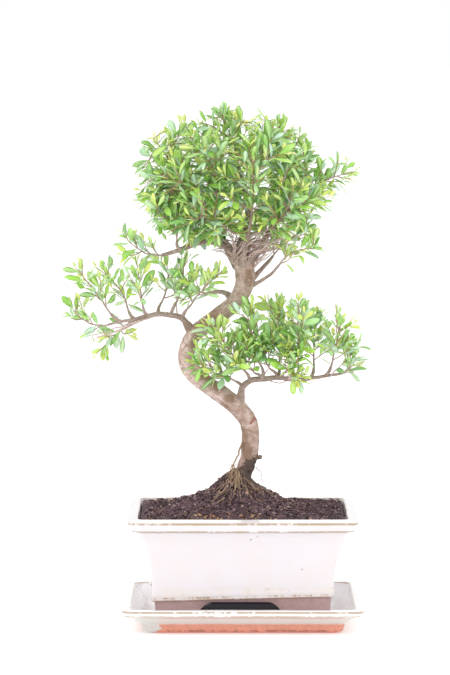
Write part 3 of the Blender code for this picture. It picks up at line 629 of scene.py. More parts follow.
@dataclass(frozen=True)
class LeafFinish:
    """Waxy leaf, from dark green when old to yellow-green when new, with a pale midrib, faint veins and a
    painted pale bluish sheen on some leaves.

    The mesh stores "tone", 0 old to 1 new, "shade", a chance value for each leaf, "along" and "across", which
    give a place in the blade, and "under", 1 on the lower side.

    Args:
        name: The material's name.
        old: Colour of an old leaf.
        grown: Colour of a full-grown leaf.
        young: Colour of a new leaf.
    """

    name: str = "waxy_leaf"
    old: tuple = (0.135, 0.42, 0.105)
    grown: tuple = (0.42, 0.80, 0.095)
    young: tuple = (0.93, 0.98, 0.24)

    def build(self) -> bpy.types.Material:
        """Makes the material."""
        made = Finish(self.name)
        graph = made.graph
        tone, shade = graph.attribute("tone"), graph.attribute("shade")
        colour = graph.ramp(tone, (0.0, self.old), (0.5, self.grown), (1.0, self.young))
        deep = graph.math("MULTIPLY", graph.span(shade, 0.38, 0.0), graph.span(tone, 0.8, 0.3))
        colour = graph.tint(colour, (0.070, 0.265, 0.085), deep, 0.7)
        # Painted sheen: a share of full-grown leaves turns pale bluish-white, standing in for gloss under the
        # overhead light.
        painted_sheen = graph.math("MULTIPLY", graph.span(shade, 0.5, 0.95), graph.span(tone, 0.85, 0.35))
        sheen_tinted = graph.tint(colour, (0.64, 0.94, 0.80), painted_sheen, 0.85)
        across = graph.add("Math", {0: graph.attribute("across")}, operation="ABSOLUTE").outputs[0]
        rib = graph.span(across, 0.16, 0.03)
        parts = {0: across, 1: -0.35, 2: graph.attribute("along")}
        slant = graph.add("Math", parts, operation="MULTIPLY_ADD")
        wave = graph.add("Math", {0: slant.outputs[0], 1: 60.0}, operation="MULTIPLY").outputs[0]
        veins = graph.span(graph.add("Math", {0: wave}, operation="SINE").outputs[0], 0.7, 1.0)
        blotch = graph.noise(graph.place(), 500.0, 3.0)
        colour = graph.tint(sheen_tinted, (0.42, 0.68, 0.10), graph.span(blotch, 0.5, 0.7), 0.25)
        colour = graph.tint(colour, (0.62, 0.78, 0.33), veins, 0.12)
        colour = graph.tint(colour, (0.70, 0.82, 0.30), rib, 0.45)
        under = graph.attribute("under")
        colour = graph.tint(colour, (0.66, 0.82, 0.48), under, 0.45)
        rough = graph.add("Mix", {0: under, 2: 0.24, 3: 0.55}, data_type="FLOAT").outputs[0]
        relief = made.bump(veins, 0.0002, 0.25)
        made.set(
            Base_Color=colour,
            Roughness=rough,
            Normal=made.bump(rib, 0.0003, -0.4, relief),
            Specular_IOR_Level=1.0,
            Coat_Weight=0.6,
            Coat_Roughness=0.22,
            Subsurface_Weight=0.3,
            Subsurface_Radius=(1.0, 1.2, 0.3),
            Subsurface_Scale=0.0008,
        )
        return made.material


@dataclass(frozen=True)
class TwigFinish:
    """Young wood: brown-grey at its base, reddish and then green towards its tip.

    The mesh stores "tone", 0 at the oldest wood to 1 at a new tip.

    Args:
        name: The material's name.
        old: Colour at tone 0.
        red: Colour in the middle.
        green: Colour at tone 1.
    """

    name: str = "young_wood"
    old: tuple = (0.47, 0.345, 0.31)
    red: tuple = (0.52, 0.235, 0.095)
    green: tuple = (0.50, 0.52, 0.12)

    def build(self) -> bpy.types.Material:
        """Makes the material."""
        made = Finish(self.name)
        graph, place = made.graph, made.graph.place()
        colour = graph.ramp(graph.attribute("tone"), (0.0, self.old), (0.55, self.red), (1.0, self.green))
        flecks = made.group("mottle", Vector=place, Scale=420.0, Low=0.45, High=0.62)
        colour = graph.tint(colour, (0.15, 0.09, 0.06), flecks, 0.4)
        made.set(Base_Color=colour, Roughness=0.6, Normal=made.bump(flecks, 0.0002, 0.4))
        return made.material


@dataclass(frozen=True)
class SoilFinish:
    """Dark damp compost. Loose bits store "tone", which moves them from black-brown to tan.

    Args:
        name: The material's name.
        loose: Whether it is for loose bits.
    """

    name: str
    loose: bool = False

    def build(self) -> bpy.types.Material:
        """Makes the material."""
        made = Finish(self.name)
        graph, place = made.graph, made.graph.place()
        fine = graph.noise(place, 700.0, 6.0, 0.7)
        lumps = made.group("mottle", Vector=place, Scale=160.0, Low=0.4, High=0.62)
        if self.loose:
            stops = ((0.0, (0.017, 0.008, 0.013)), (0.4, (0.13, 0.072, 0.088)), (0.72, (0.50, 0.35, 0.345)),
                     (0.88, (0.58, 0.29, 0.11)), (1.0, (0.75, 0.66, 0.58)))
            colour = graph.ramp(graph.attribute("tone"), *stops)
            colour = graph.tint(colour, (0.05, 0.032, 0.03), fine, 0.22)
        else:
            colour = graph.ramp(fine, (0.3, (0.022, 0.011, 0.017)), (0.52, (0.100, 0.055, 0.070)),
                                (0.72, (0.32, 0.205, 0.215)))
            colour = graph.tint(colour, (0.032, 0.017, 0.024), lumps, 0.55)
            dusty = made.group("mottle", Vector=place, Scale=30.0, Low=0.47, High=0.66)
            colour = graph.tint(colour, (0.36, 0.225, 0.25), dusty, 0.30)
        made.set(Base_Color=colour, Roughness=0.92, Normal=made.bump(fine, 0.0012, 0.9))
        return made.material


@dataclass(frozen=True)
class PlasticFinish:
    """Dull black plastic with a fine moulded grain.

    Args:
        name: The material's name.
    """

    name: str = "screen_plastic"

    def build(self) -> bpy.types.Material:
        """Makes the material."""
        made = Finish(self.name)
        grain = made.graph.noise(made.graph.place(), 1500.0, 2.0)
        colour = made.graph.mix(grain, (0.02, 0.02, 0.022, 1), (0.05, 0.05, 0.05, 1))
        made.set(Base_Color=colour, Roughness=0.55, Normal=made.bump(grain, 0.0002, 0.4))
        return made.material


# Ceramics.


@dataclass(frozen=True)
class Corner:
    """A corner of a ceramic profile.

    Args:
        inset: Distance in from the rim's outer edge.
        height: Height above the piece's foot.
        radius: How much the corner is rounded.
        bare: 1 where the clay has no glaze.
        worn: 1 where the glaze breaks.
        lift: 1 where the foot's arches raise it fully.
        shrink: Scales the ring towards the middle.
    """

    inset: float
    height: float
    radius: float = 0.6
    bare: float = 0.0
    worn: float = 0.0
    lift: float = 0.0
    shrink: float = 1.0


def profile_rows(corners: list[Corner], step: float) -> Array:
    """Rows of a rounded profile: each corner becomes the quadratic blend of the points that lie its radius
    before and after it, and long straight parts are cut into steps.

    Args:
        corners: The profile's corners, in order.
        step: Longest distance between two rows.

    Returns:
        Inset, height, bare, worn, lift and shrink of each row, shape (rows, 6).
    """
    table = np.array([(c.inset, c.height, c.bare, 0.0, c.lift, c.shrink) for c in corners])
    rows = [table[0]]
    for before, here, after, corner in zip(table, table[1:], table[2:], corners[1:]):
        back, ahead = (np.linalg.norm(gap[[0, 1, 5]] * (1, 1, 0.1)) for gap in (here - before, after - here))
        reach = min(corner.radius, 0.45 * back, 0.45 * ahead)
        guard = min(reach + 0.9 * MM, 0.49 * back, 0.49 * ahead)
        first, last = here + (before - here) * reach / back, here + (after - here) * reach / ahead
        t = np.linspace(0, 1, 5)[:, None]
        blend = first * (1 - t) ** 2 + here * 2 * t * (1 - t) + last * t**2
        blend[:, 3] = corner.worn
        rows.append(here + (before - here) * guard / back)
        rows.extend(blend)
        rows.append(here + (after - here) * guard / ahead)
    rows.append(table[-1])
    rows = np.array(rows)
    gaps = np.linalg.norm(np.diff(rows[:, :2], axis=0), axis=1) + 0.1 * np.abs(np.diff(rows[:, 5]))
    counts = np.maximum(1, np.ceil(gaps / step)).astype(int)
    starts = np.concatenate([[0], np.cumsum(counts)])
    return np.stack([np.interp(np.arange(starts[-1] + 1), starts, rows[:, k]) for k in range(6)], -1)


@dataclass
class RoundedBox:
    """Rings that are rectangles with round corners, all with the same number of vertices.

    Args:
        half_x: Half length of the outermost ring.
        half_y: Half width of the outermost ring.
        corner: Radius of the outermost ring's corners.
        corner_steps: Vertices in a corner.
        side_steps: Steps along a side.
    """

    half_x: float
    half_y: float
    corner: float
    corner_steps: int = 9
    side_steps: int = 40

    def columns(self) -> tuple[Array, Array, Array, Array, Array]:
        """For each column: its corner number, the next corner's number, its two arc directions as angles,
        and its share of the way from the first to the second."""
        first, second, angle, next_angle, share = [], [], [], [], []
        for quadrant in range(4):
            turn = quadrant * math.pi / 2
            arc = turn + np.linspace(0, math.pi / 2, self.corner_steps)
            straight = np.linspace(0, 1, self.side_steps + 1)[1:-1]
            count = len(arc) + len(straight)
            first.append(np.full(count, quadrant))
            second.append(np.full(count, (quadrant + 1) % 4))
            angle.append(np.concatenate([arc, np.full(len(straight), turn + math.pi / 2)]))
            next_angle.append(np.full(count, turn + math.pi / 2))
            share.append(np.concatenate([np.zeros(len(arc)), straight]))
        return tuple(np.concatenate(part) for part in (first, second, angle, next_angle, share))

    def rings(self, inset: Array, shrink: Array) -> tuple[Array, Array]:
        """Rings at these insets: each vertex is its corner's centre plus the corner radius along its arc's
        direction, or for a straight side the blend of the two corners' ends.

        Args:
            inset: Inset of each row, shape (rows,).
            shrink: Scale of each row.

        Returns:
            Places in the plane, shape (rows, columns, 2), and for each column 0 on a corner, 1 on a side that
            runs along X and 2 on one that runs along Y.
        """
        first, second, angle, next_angle, share = self.columns()
        signs = np.array([(1, 1), (-1, 1), (-1, -1), (1, -1)], dtype=float)
        half = np.stack([self.half_x - inset, self.half_y - inset], -1)[:, None, :]
        radius = np.maximum(self.corner - 0.15 * inset, 1.5 * MM)[:, None, None]
        here = signs[first] * (half - radius) + radius * np.stack([np.cos(angle), np.sin(angle)], -1)
        onward = np.stack([np.cos(next_angle), np.sin(next_angle)], -1)
        there = signs[second] * (half - radius) + radius * onward
        flat = here * (1 - share[:, None]) + there * share[:, None]
        kind = np.where(share == 0, 0, np.where(first % 2 == 0, 1, 2))
        return flat * shrink[:, None, None], kind


@dataclass
class Ceramic:
    """A thrown-and-pressed dish: a profile carried round a rounded rectangle.

    Args:
        node: The CAD node that it stands for.
        corners: Its profile, from the middle of its underside or inside to the other.
        corner: Radius of the rim's corners in plan.
        finish: Its glaze.
        slot: Name of its material slot; it is not used.
        waviness: How far the wall wanders in and out.
        wider: How far the left side bulges past a true rectangle, halved.
    """

    node: str
    corners: list[Corner]
    corner: float
    finish: GlazeFinish
    slot: str
    waviness: float = 0.4 * MM
    wider: float = 1.2 * MM

    def raise_by(self, flat: Array, kind: Array) -> Array:
        """How far arches raise the foot at each vertex. A plain dish has none."""
        return np.zeros(flat.shape[:2])

    def lean(self, flat: Array, height: Array) -> Array:
        """How far a row rises towards one side. A plain dish has level rows."""
        return np.zeros(flat.shape[:2])

    def marks(self, points: Array, bare: Array) -> dict[str, Array]:
        """Marks that don't follow the profile: the share of bare clay, of painted shade and of lifeless glaze
        at each vertex.
        """
        return {"bare": bare, "painted_shade": np.zeros(len(points)), "dull_and_shade": np.zeros(len(points))}

    def build(self) -> bpy.types.Object:
        """Carries the profile round the plan: height = row height + lift x arch, and the wall wanders in
        and out with two slow noises."""
        low, high = node_box(self.node)
        rows = profile_rows(self.corners, 3.5 * MM)
        half_x, half_y = (high[0] - low[0]) / 2 + self.wider, (high[1] - low[1]) / 2 - self.waviness
        plan = RoundedBox(half_x, half_y, self.corner)
        flat, kind = plan.rings(rows[:, 0], rows[:, 5])
        height = rows[:, 1:2] + rows[:, 4:5] * self.raise_by(flat, kind) + self.lean(flat, rows[:, 1:2])
        points = np.dstack([flat, height])
        points[..., :2] += (low[:2] + high[:2]) / 2 - np.array((self.wider, 0))
        points[..., 2] += low[2]
        outward = np.dstack([unit(flat), np.zeros(height.shape)])
        wander = layered(points, 34 * MM, 2, 5) * self.waviness
        points += outward * wander[..., None]
        points[..., 2] += noise(points, 28 * MM, 11) * self.waviness * 0.5 * (rows[:, 1:2] > 1 * MM)
        count, width = points.shape[:2]
        poles = np.array([points[0].mean(axis=0), points[-1].mean(axis=0)])
        everything = np.vstack([points.reshape(-1, 3), poles])
        bare, worn = (np.append(np.repeat(rows[:, k], width), [rows[0, k], rows[-1, k]]) for k in (2, 3))
        numbers = {"worn": worn, **self.marks(everything, bare)}
        quads, tris = skin(1, count, width)
        piece = make_piece(self.node + "_glazed", everything, [quads, tris], **numbers)
        finish_piece(piece, self.finish.build(), self.slot, self.node)
        return piece


def drill(piece: bpy.types.Object, places: list[Point], radius: float, depth: float) -> None:
    """Cuts round upright holes through a piece, for good.

    Args:
        piece: What to cut.
        places: Middle of each hole.
        radius: Radius of the holes.
        depth: How far each hole reaches over and under its middle.
    """
    cutters = []
    for place in places:
        path = np.array(place) + np.outer(np.linspace(-depth, depth, 3), UP)
        points = carry_ring(path[None], np.full((1, 3), radius), 36)[0]
        cutter = make_piece("hole", points, skin(1, 3, 36), bare=np.ones(len(points)))
        modifier = piece.modifiers.new("hole", "BOOLEAN")
        modifier.object, modifier.solver, modifier.operation = cutter, "EXACT", "DIFFERENCE"
        cutters.append(cutter)
    cut = bpy.data.meshes.new_from_object(piece.evaluated_get(bpy.context.evaluated_depsgraph_get()))
    piece.modifiers.clear()
    piece.data = cut
    for cutter in cutters:
        bpy.data.objects.remove(cutter)


@dataclass
class DripTray(Ceramic):
    """The tray, with its own defaults. Sizes are insets from the rim's edge and heights above the table."""

    node: str = "drip_tray"
    corner: float = 8 * MM
    slot: str = "tray_glaze"
    finish: GlazeFinish = field(default_factory=lambda: GlazeFinish(
        "tray_glaze_and_terracotta", glaze=(0.98, 0.985, 1.0), warm=(0.96, 0.93, 0.88),
        clay=(0.80, 0.345, 0.245), pits=0.03))
    corners: list[Corner] = field(default_factory=lambda: [
        Corner(23 * MM, 0.0, bare=1, shrink=0.02),
        Corner(23 * MM, 0.0, 1.2 * MM, bare=1),
        Corner(19 * MM, 2.2 * MM, 1.2 * MM, bare=1, worn=0.9),
        Corner(17.4 * MM, 8.6 * MM, 0.5 * MM, bare=1),
        Corner(16.8 * MM, 9.3 * MM, 0.6 * MM, worn=0.8),
        Corner(7.6 * MM, 16.2 * MM, 3 * MM),
        Corner(1.4 * MM, 18 * MM, 1.0 * MM, worn=1),
        Corner(0.0, 22.6 * MM, 1.2 * MM, worn=1),
        Corner(2.2 * MM, 24 * MM, 1.6 * MM),
        Corner(8.4 * MM, 23.9 * MM, 1.0 * MM, worn=1),
        Corner(10.6 * MM, 19 * MM, 2 * MM),
        Corner(21.5 * MM, 8.5 * MM, 3 * MM),
        Corner(25 * MM, 5.5 * MM, 3 * MM),
        Corner(25 * MM, 5.5 * MM, shrink=0.02),
    ])

    def marks(self, points: Array, bare: Array) -> dict[str, Array]:
        """A run of glaze covers the foot's front left corner, shade is painted near-black under the pot and
        low in the gutter behind it, and shade is painted on the flared outside in the colour of lifeless
        glaze.

        Args:
            points: The tray's vertices.
            bare: 1 where its profile has no glaze.

        Returns:
            Shares of bare clay, of painted shade, and of lifeless glaze that also paints shade, at each
            vertex.
        """
        low, high = node_box(self.node)
        x, y, z = points.T
        above_foot = z > 4 * MM
        # Painted shade: near-black on the tray's floor under the pot.
        covered = np.maximum(np.abs(x) / (80 * MM), np.abs(y) / (58 * MM))
        painted_shade = ease(-covered, -1.0, -0.93) * (z < 9 * MM) * above_foot * (bare == 0)
        # Painted shade: near-black low in the gutter behind the pot, with ragged edges.
        shade_reach = np.abs(x) + 9 * MM * noise(points, 12 * MM, 16)
        shade_level = z + 2 * MM * noise(points, 6 * MM, 17)
        behind = ease(-shade_reach, -46 * MM, -34 * MM) * (y > 0) * ease(-shade_level, -11.5 * MM, -7.5 * MM)
        painted_shade = np.maximum(painted_shade, behind * above_foot * (y < 79 * MM))
        # Painted shade: the flared outside under the rim's overhang takes the lifeless glaze colour. The run
        # of glaze over the foot keeps it as the glaze's own colour.
        past_rim = np.maximum(np.abs(x) - high[0], np.abs(y) - high[1])
        flare_inset = (17.5 - (z / MM - 9) * 1.15 + 1.5) * MM
        outside = (z > 9 * MM) & (z < 18.2 * MM) & (past_rim > -flare_inset)
        corner = low + np.array((19, 19, 6)) * MM
        gap = np.linalg.norm((points - corner) / np.array((1.3, 1, 0.7)), axis=1)
        ragged = gap + 2.5 * MM * noise(points, 5 * MM, 15)
        run = ease(-ragged, -13 * MM, -12 * MM) * (z < 9.5 * MM) * (y < 0)
        return {
            "bare": bare * ease(ragged, 10 * MM, 11.5 * MM),
            "painted_shade": np.where(outside, 0, painted_shade),
            "dull_and_shade": np.maximum(outside.astype(float), run),
        }


@dataclass
class Pot(Ceramic):
    """The pot. Sizes are insets from the rim's edge and heights above the face that it stands on.

    Args:
        height: Its height.
        foot: Height of the unglazed foot skirt.
        rim_low: Height of the rim band's lower edge.
        overhang: How far the rim stands out past the body's top.
        flare: How much wider the body is at its top than at the foot.
        flare_power: How late the body flares: a higher power keeps it straight for longer.
        ledge_rise: How much the ledge over the foot rises from the middle to 80 mm on the right.
        wall: Thickness of the body.
        floor: Height of the inner floor.
        arch_rise: Height of the foot's arches.
        arch_leg: Foot left standing at each end of an arch.
        arch_shoulder: Distance over which an arch rises.
        arch_shift: How far the long sides' arches lie off the middle.
    """

    node: str = "pot"
    corner: float = 7 * MM
    slot: str = "cream_glaze"
    finish: GlazeFinish = field(default_factory=lambda: GlazeFinish("cream_glaze"))
    height: float = 101 * MM
    foot: float = 24.2 * MM
    rim_low: float = 89.6 * MM
    overhang: float = 8.2 * MM
    flare: float = 14.9 * MM
    flare_power: float = 2.3
    ledge_rise: float = 2.0 * MM
    wall: float = 5.5 * MM
    floor: float = 30.2 * MM
    arch_rise: float = 21.2 * MM
    arch_leg: float = 27 * MM
    arch_shoulder: float = 27 * MM
    arch_shift: float = -2.5 * MM
    corners: list[Corner] = field(default_factory=list)

    def __post_init__(self) -> None:
        """Works out the profile from the sizes."""
        self.corners = self.outer_corners() + self.inner_corners()

    def drain_places(self) -> list[Point]:
        """Middles of the two drain holes, under the two screens."""
        names = ("drain_screen_left", "drain_screen_right")
        middles = [sum(node_box(name)) / 2 for name in names]
        base = node_box(self.node)[0][2]
        return [(float(m[0]), float(m[1]), base + self.floor - 3 * MM) for m in middles]

    def body_inset(self, height: float) -> float:
        """Inset of the body, which flares with a power of the height above the foot."""
        share = min(max((height - self.foot) / (self.rim_low - self.foot), 0.0), 1.0)
        return self.overhang + self.flare * (1 - share**self.flare_power)

    def outer_corners(self) -> list[Corner]:
        """The floor's underside, the foot skirt, the body and the rim."""
        skirt = self.body_inset(self.foot) + 1.6 * MM
        inside = skirt + 6 * MM
        under = self.foot - 0.8 * MM
        body = [Corner(self.body_inset(level), level, 6 * MM, worn=0.5 if number == 0 else 0.0)
                for number, level in enumerate(np.linspace(self.foot + 9 * MM, self.rim_low - 5 * MM, 6))]
        return [
            Corner(inside, under, bare=1, shrink=0.02),
            Corner(inside, under, 1.5 * MM, bare=1),
            Corner(inside + 2.5 * MM, 0.0, 1.0 * MM, bare=1, lift=1),
            Corner(skirt + 2.5 * MM, 0.0, 1.2 * MM, bare=1, lift=1),
            Corner(skirt, self.foot - 0.4 * MM, 0.5 * MM, bare=1),
            Corner(skirt - 2.0 * MM, self.foot + 0.5 * MM, 0.7 * MM, worn=1),
            Corner(skirt - 2.1 * MM, self.foot + 2.6 * MM, 1.2 * MM, worn=0.7),
            Corner(skirt - 2.6 * MM, self.foot + 6.0 * MM, 2.4 * MM, worn=0.5),
            *body,
            Corner(self.overhang, self.rim_low - 1.2 * MM, 1.2 * MM),
            Corner(3.5 * MM, self.rim_low, 1.1 * MM, worn=1),
            Corner(0.0, self.height - 3 * MM, 1.4 * MM, worn=1),
        ]

    def inner_corners(self) -> list[Corner]:
        """The lip's sloping top, the inner wall and the inner floor."""
        wall = [Corner(self.body_inset(level) + self.wall, level, 5 * MM)
                for level in np.linspace(self.rim_low - 4 * MM, self.floor + 9 * MM, 4)]
        return [
            Corner(9.6 * MM, self.height, 1.2 * MM, worn=0.9),
            Corner(11.0 * MM, self.height - 4 * MM, 2 * MM),
            *wall,
            Corner(self.body_inset(self.floor) + self.wall + 5 * MM, self.floor, 4 * MM),
            Corner(self.body_inset(self.floor) + self.wall + 5 * MM, self.floor, shrink=0.02),
        ]

    def lean(self, flat: Array, height: Array) -> Array:
        """The ledge over the foot rises to the right, and rows near it rise by a bell of that."""
        return self.ledge_rise * flat[..., 0] / (80 * MM) * np.exp(-(((height - self.foot) / (11 * MM)) ** 2))

    def raise_by(self, flat: Array, kind: Array) -> Array:
        """The arches: full rise in the middle, falling with half a cosine over each shoulder to the legs.

        Args:
            flat: Places in the plane, shape (rows, columns, 2).
            kind: Each column's side: 1 along X, 2 along Y, 0 on a corner.

        Returns:
            The rise at each vertex.
        """
        skirt = self.body_inset(self.foot) + 1.6 * MM
        low, high = node_box(self.node)
        rise = np.zeros(flat.shape[:2])
        for axis, side, shift in ((0, 1, self.arch_shift), (1, 2, 0.0)):
            leg = (high[axis] - low[axis]) / 2 - skirt - self.arch_leg
            share = np.clip((leg - np.abs(flat[..., axis] - shift)) / self.arch_shoulder, 0, 1)
            rise += np.where(kind == side, self.arch_rise * (1 - np.cos(math.pi * share)) / 2, 0)
        return rise


# Soil.


@dataclass
class Soil:
    """Compost that fills the pot to just under its lip and rises to the trunk in a crumbly mound.

    Args:
        pot: The pot that holds it.
        swell: Height of the broad mound over the soil's edge.
        spread_left: Distance over which it falls to the left.
        spread_right: The same to the right.
        spread_y: The same along Y.
        cone: Height of the steep heap round the trunk, over the mound.
        cone_spread: Distance over which it falls.
        chunks: Number of loose bits of bark and grit.
        fibres: Number of loose root fibres.
        edge: Height of its edge over the table, in metres.
        half_x: Half its length.
        half_y: Half its width.
    """

    pot: Pot
    swell: float = 27 * MM
    spread_left: float = 62 * MM
    spread_right: float = 42 * MM
    spread_y: float = 42 * MM
    cone: float = 11 * MM
    cone_spread: float = 13 * MM
    chunks: int = 7000
    fibres: int = 420
    edge: float = 0.1023
    half_x: float = 93.2 * MM
    half_y: float = 71.2 * MM

    def smooth_height(self, x: Array, y: Array) -> Array:
        """Level edge, 2 mm higher at the back, plus three bells that fall as exp(-(distance / spread)^2)."""
        away = x + 2 * MM
        spread_x = np.where(away < 0, self.spread_left, self.spread_right)
        broad = (away / spread_x) ** 2 + (y / self.spread_y) ** 2
        steep = ((x + 8 * MM) ** 2 + (y + 1 * MM) ** 2) / self.cone_spread**2
        heap = ((x + 19 * MM) / (8 * MM)) ** 2 + ((y + 2 * MM) / (9 * MM)) ** 2
        back = 2 * MM * ease(y, -20 * MM, self.half_y)
        bells = self.swell * np.exp(-broad) + self.cone * np.exp(-steep) + 3 * MM * np.exp(-heap)
        return self.edge + back + bells

    def height(self, x: Array, y: Array) -> Array:
        """The smooth height with lumps of three sizes, which fade out at the wall."""
        flat = np.stack([x, y, np.zeros_like(x)], -1)
        lumps = 2.2 * noise(flat, 14 * MM, 3) + 2.0 * noise(flat, 6 * MM, 4) + 1.3 * noise(flat, 2.7 * MM, 5)
        inside = np.minimum(self.half_x - np.abs(x), self.half_y - np.abs(y))
        return self.smooth_height(x, y) + lumps * MM * (0.35 + 0.65 * ease(inside, 0, 12 * MM))

    def wall_rows(self) -> tuple[Array, Array]:
        """Rows down the side, which stay 0.8 mm off the pot's inner wall.

        Returns:
            Each row's height in the world, and its inset from the soil's edge.
        """
        pot, gap = self.pot, 0.8 * MM
        low, high = node_box(pot.node)
        levels = np.linspace(pot.floor + 9 * MM, pot.rim_low - 4 * MM, 4)
        insets = [pot.body_inset(level) + pot.wall + gap for level in levels]
        first, last = insets[0] + 5 * MM, 13.4 * MM
        heights = np.array([pot.floor + 0.5 * MM, *levels, pot.height - 8 * MM])
        return low[2] + heights, np.array([first, *insets, last]) - ((high[0] - low[0]) / 2 - self.half_x)

    def build(self) -> None:
        """Builds the body of the soil, the loose bits and the fibres."""
        wider = self.pot.wider
        plan = RoundedBox(self.half_x + wider, self.half_y, 6 * MM, corner_steps=9, side_steps=84)
        heights, insets = self.wall_rows()
        scale = np.concatenate([np.ones(len(heights)), np.linspace(1, 0.012, 150)])
        flat, _ = plan.rings(np.concatenate([insets, np.zeros(150)]), scale)
        flat[..., 0] -= wider
        level = self.height(flat[..., 0], flat[..., 1])
        level[:len(heights)] = heights[:, None]
        points = np.dstack([flat, level])
        count, width = level.shape
        poles = np.array([points[0].mean(axis=0), points[-1].mean(axis=0)])
        quads, tris = skin(1, count, width)
        body = make_piece("compost", np.vstack([points.reshape(-1, 3), poles]), [quads, tris])
        finish_piece(body, SoilFinish("damp_compost").build(), "potting_soil", "soil")
        self.scatter_chunks()
        self.scatter_fibres()

    def places(self, count: int, chance: np.random.Generator) -> Array:
        """Chance places on the soil, rather more of them near the trunk.

        Args:
            count: Number of places.
            chance: Source of chance.

        Returns:
            The places, shape (count, 3).
        """
        flat = chance.uniform(-1, 1, (count, 2)) * (self.half_x - 2 * MM, self.half_y - 2 * MM)
        near = chance.random(count) < 0.3
        flat[near] = chance.normal(0, 1, (near.sum(), 2)) * (26 * MM, 22 * MM)
        return np.column_stack([flat, self.height(flat[:, 0], flat[:, 1])])

    def scatter_chunks(self) -> None:
        """Bits of bark and grit: an icosahedron, stretched, turned and dented by chance, for each place."""
        chance = np.random.default_rng(8)
        golden = (1 + math.sqrt(5)) / 2
        solid = unit(np.array([(-1, golden, 0), (1, golden, 0), (-1, -golden, 0), (1, -golden, 0),
                               (0, -1, golden), (0, 1, golden), (0, -1, -golden), (0, 1, -golden),
                               (golden, 0, -1), (golden, 0, 1), (-golden, 0, -1), (-golden, 0, 1)]))
        faces = np.array([(0, 11, 5), (0, 5, 1), (0, 1, 7), (0, 7, 10), (0, 10, 11), (1, 5, 9), (5, 11, 4),
                          (11, 10, 2), (10, 7, 6), (7, 1, 8), (3, 9, 4), (3, 4, 2), (3, 2, 6), (3, 6, 8),
                          (3, 8, 9), (4, 9, 5), (2, 4, 11), (6, 2, 10), (8, 6, 7), (9, 8, 1)])
        count = self.chunks
        centre = self.places(count, chance)
        size = (0.5 + 1.7 * chance.random(count) ** 3.0) * MM
        stretch = chance.uniform(0.5, 1.0, (count, 1, 3)) * np.array((1.5, 1.0, 0.65))
        turns = np.linalg.qr(chance.normal(size=(count, 3, 3)))[0]
        turns[:, :, 0] *= np.sign(np.linalg.det(turns))[:, None]
        dents = chance.uniform(0.75, 1.15, (count, 12, 1))
        shapes = np.einsum("nij,nvj->nvi", turns, solid[None] * stretch * dents)
        points = centre[:, None] + shapes * size[:, None, None]
        tone = np.clip(chance.random(count) ** 1.8 * 0.8, 0, 0.8)
        tone[chance.random(count) < 0.006] = 1.0
        in_front = (centre[:, 1] < -52 * MM) & (np.abs(centre[:, 0] + 8 * MM) < 42 * MM)
        rusty = (chance.random(count) < 0.5) & in_front
        tone[rusty] = chance.uniform(0.84, 0.93, rusty.sum())
        numbers = np.repeat(tone, 12)
        index = (faces[None] + np.arange(count)[:, None, None] * 12).reshape(-1, 3)
        piece = make_piece("bark_chips_and_grit", points.reshape(-1, 3), [index], tone=numbers)
        piece.data.polygons.foreach_set("use_smooth", np.zeros(len(index), dtype=bool))
        finish_piece(piece, SoilFinish("loose_compost", loose=True).build(), "potting_soil", "soil")

    def scatter_fibres(self) -> None:
        """Thin pale root fibres: short bent tubes that lie on the soil."""
        chance = np.random.default_rng(21)
        start = self.places(self.fibres, chance)
        angle = chance.uniform(0, 2 * math.pi, self.fibres)
        length = chance.uniform(4, 15, self.fibres) * MM
        way = np.stack([np.cos(angle), np.sin(angle), chance.uniform(-0.1, 0.9, self.fibres)], -1)
        bend = np.stack([np.cos(angle + 0.8), np.sin(angle + 0.8), np.zeros(self.fibres)], -1)
        paths = arcs(start, unit(way), start + bend * length[:, None], 7)
        inside = (np.abs(paths[..., 0]).max(1) < self.half_x - 1 * MM)
        inside &= np.abs(paths[..., 1]).max(1) < self.half_y - 1 * MM
        paths = paths[inside]
        lie = self.height(paths[..., 0], paths[..., 1])
        paths[..., 2] = np.maximum(lie + 0.15 * MM, np.minimum(paths[..., 2], lie + 2.6 * MM))
        radii = np.linspace(0.22, 0.08, 7) * MM * chance.uniform(0.6, 1.3, (len(paths), 1))
        points = carry_ring(paths, radii, 5)
        tone = np.repeat(chance.uniform(0.55, 1.0, len(paths)) * 0.78 + 0.1, points.shape[1])
        piece = make_piece("root_fibres", points.reshape(-1, 3), skin(len(paths), 7, 5), tone=tone)
        finish_piece(piece, SoilFinish("dry_fibre", loose=True).build(), "potting_soil", "soil")


# Wood.


TRUNK_ROUTE = [
    (-4, 0, 112), (-3, 0, 131), (1, 0, 145), (4.5, 0, 156), (5.5, -1, 166), (6, -2, 175), (5, -3, 184),
    (2.5, -4, 191.5), (-7, -5, 203), (-19, -4, 212.5), (-32.5, -1, 221.5), (-46, 3, 232), (-53.3, 6, 244.5),
    (-52.5, 7, 258), (-46, 6, 269.5), (-36.5, 4, 277.5), (-26, 2, 285), (-15.5, 0, 293.5), (-6.5, -2, 302.5),
    (0, -3, 315), (1, -2, 327), (-1, 0, 338), (-4, 0, 350),
]
TRUNK_RADII = [
    10, 7.4, 7.6, 8, 8.3, 8.3, 8.2, 8.5, 8.5, 8.4, 8.2, 8.1,
    8, 7.8, 7.6, 7.6, 7.6, 7.9, 8.3, 8.8, 9.4, 9.4, 7,
]


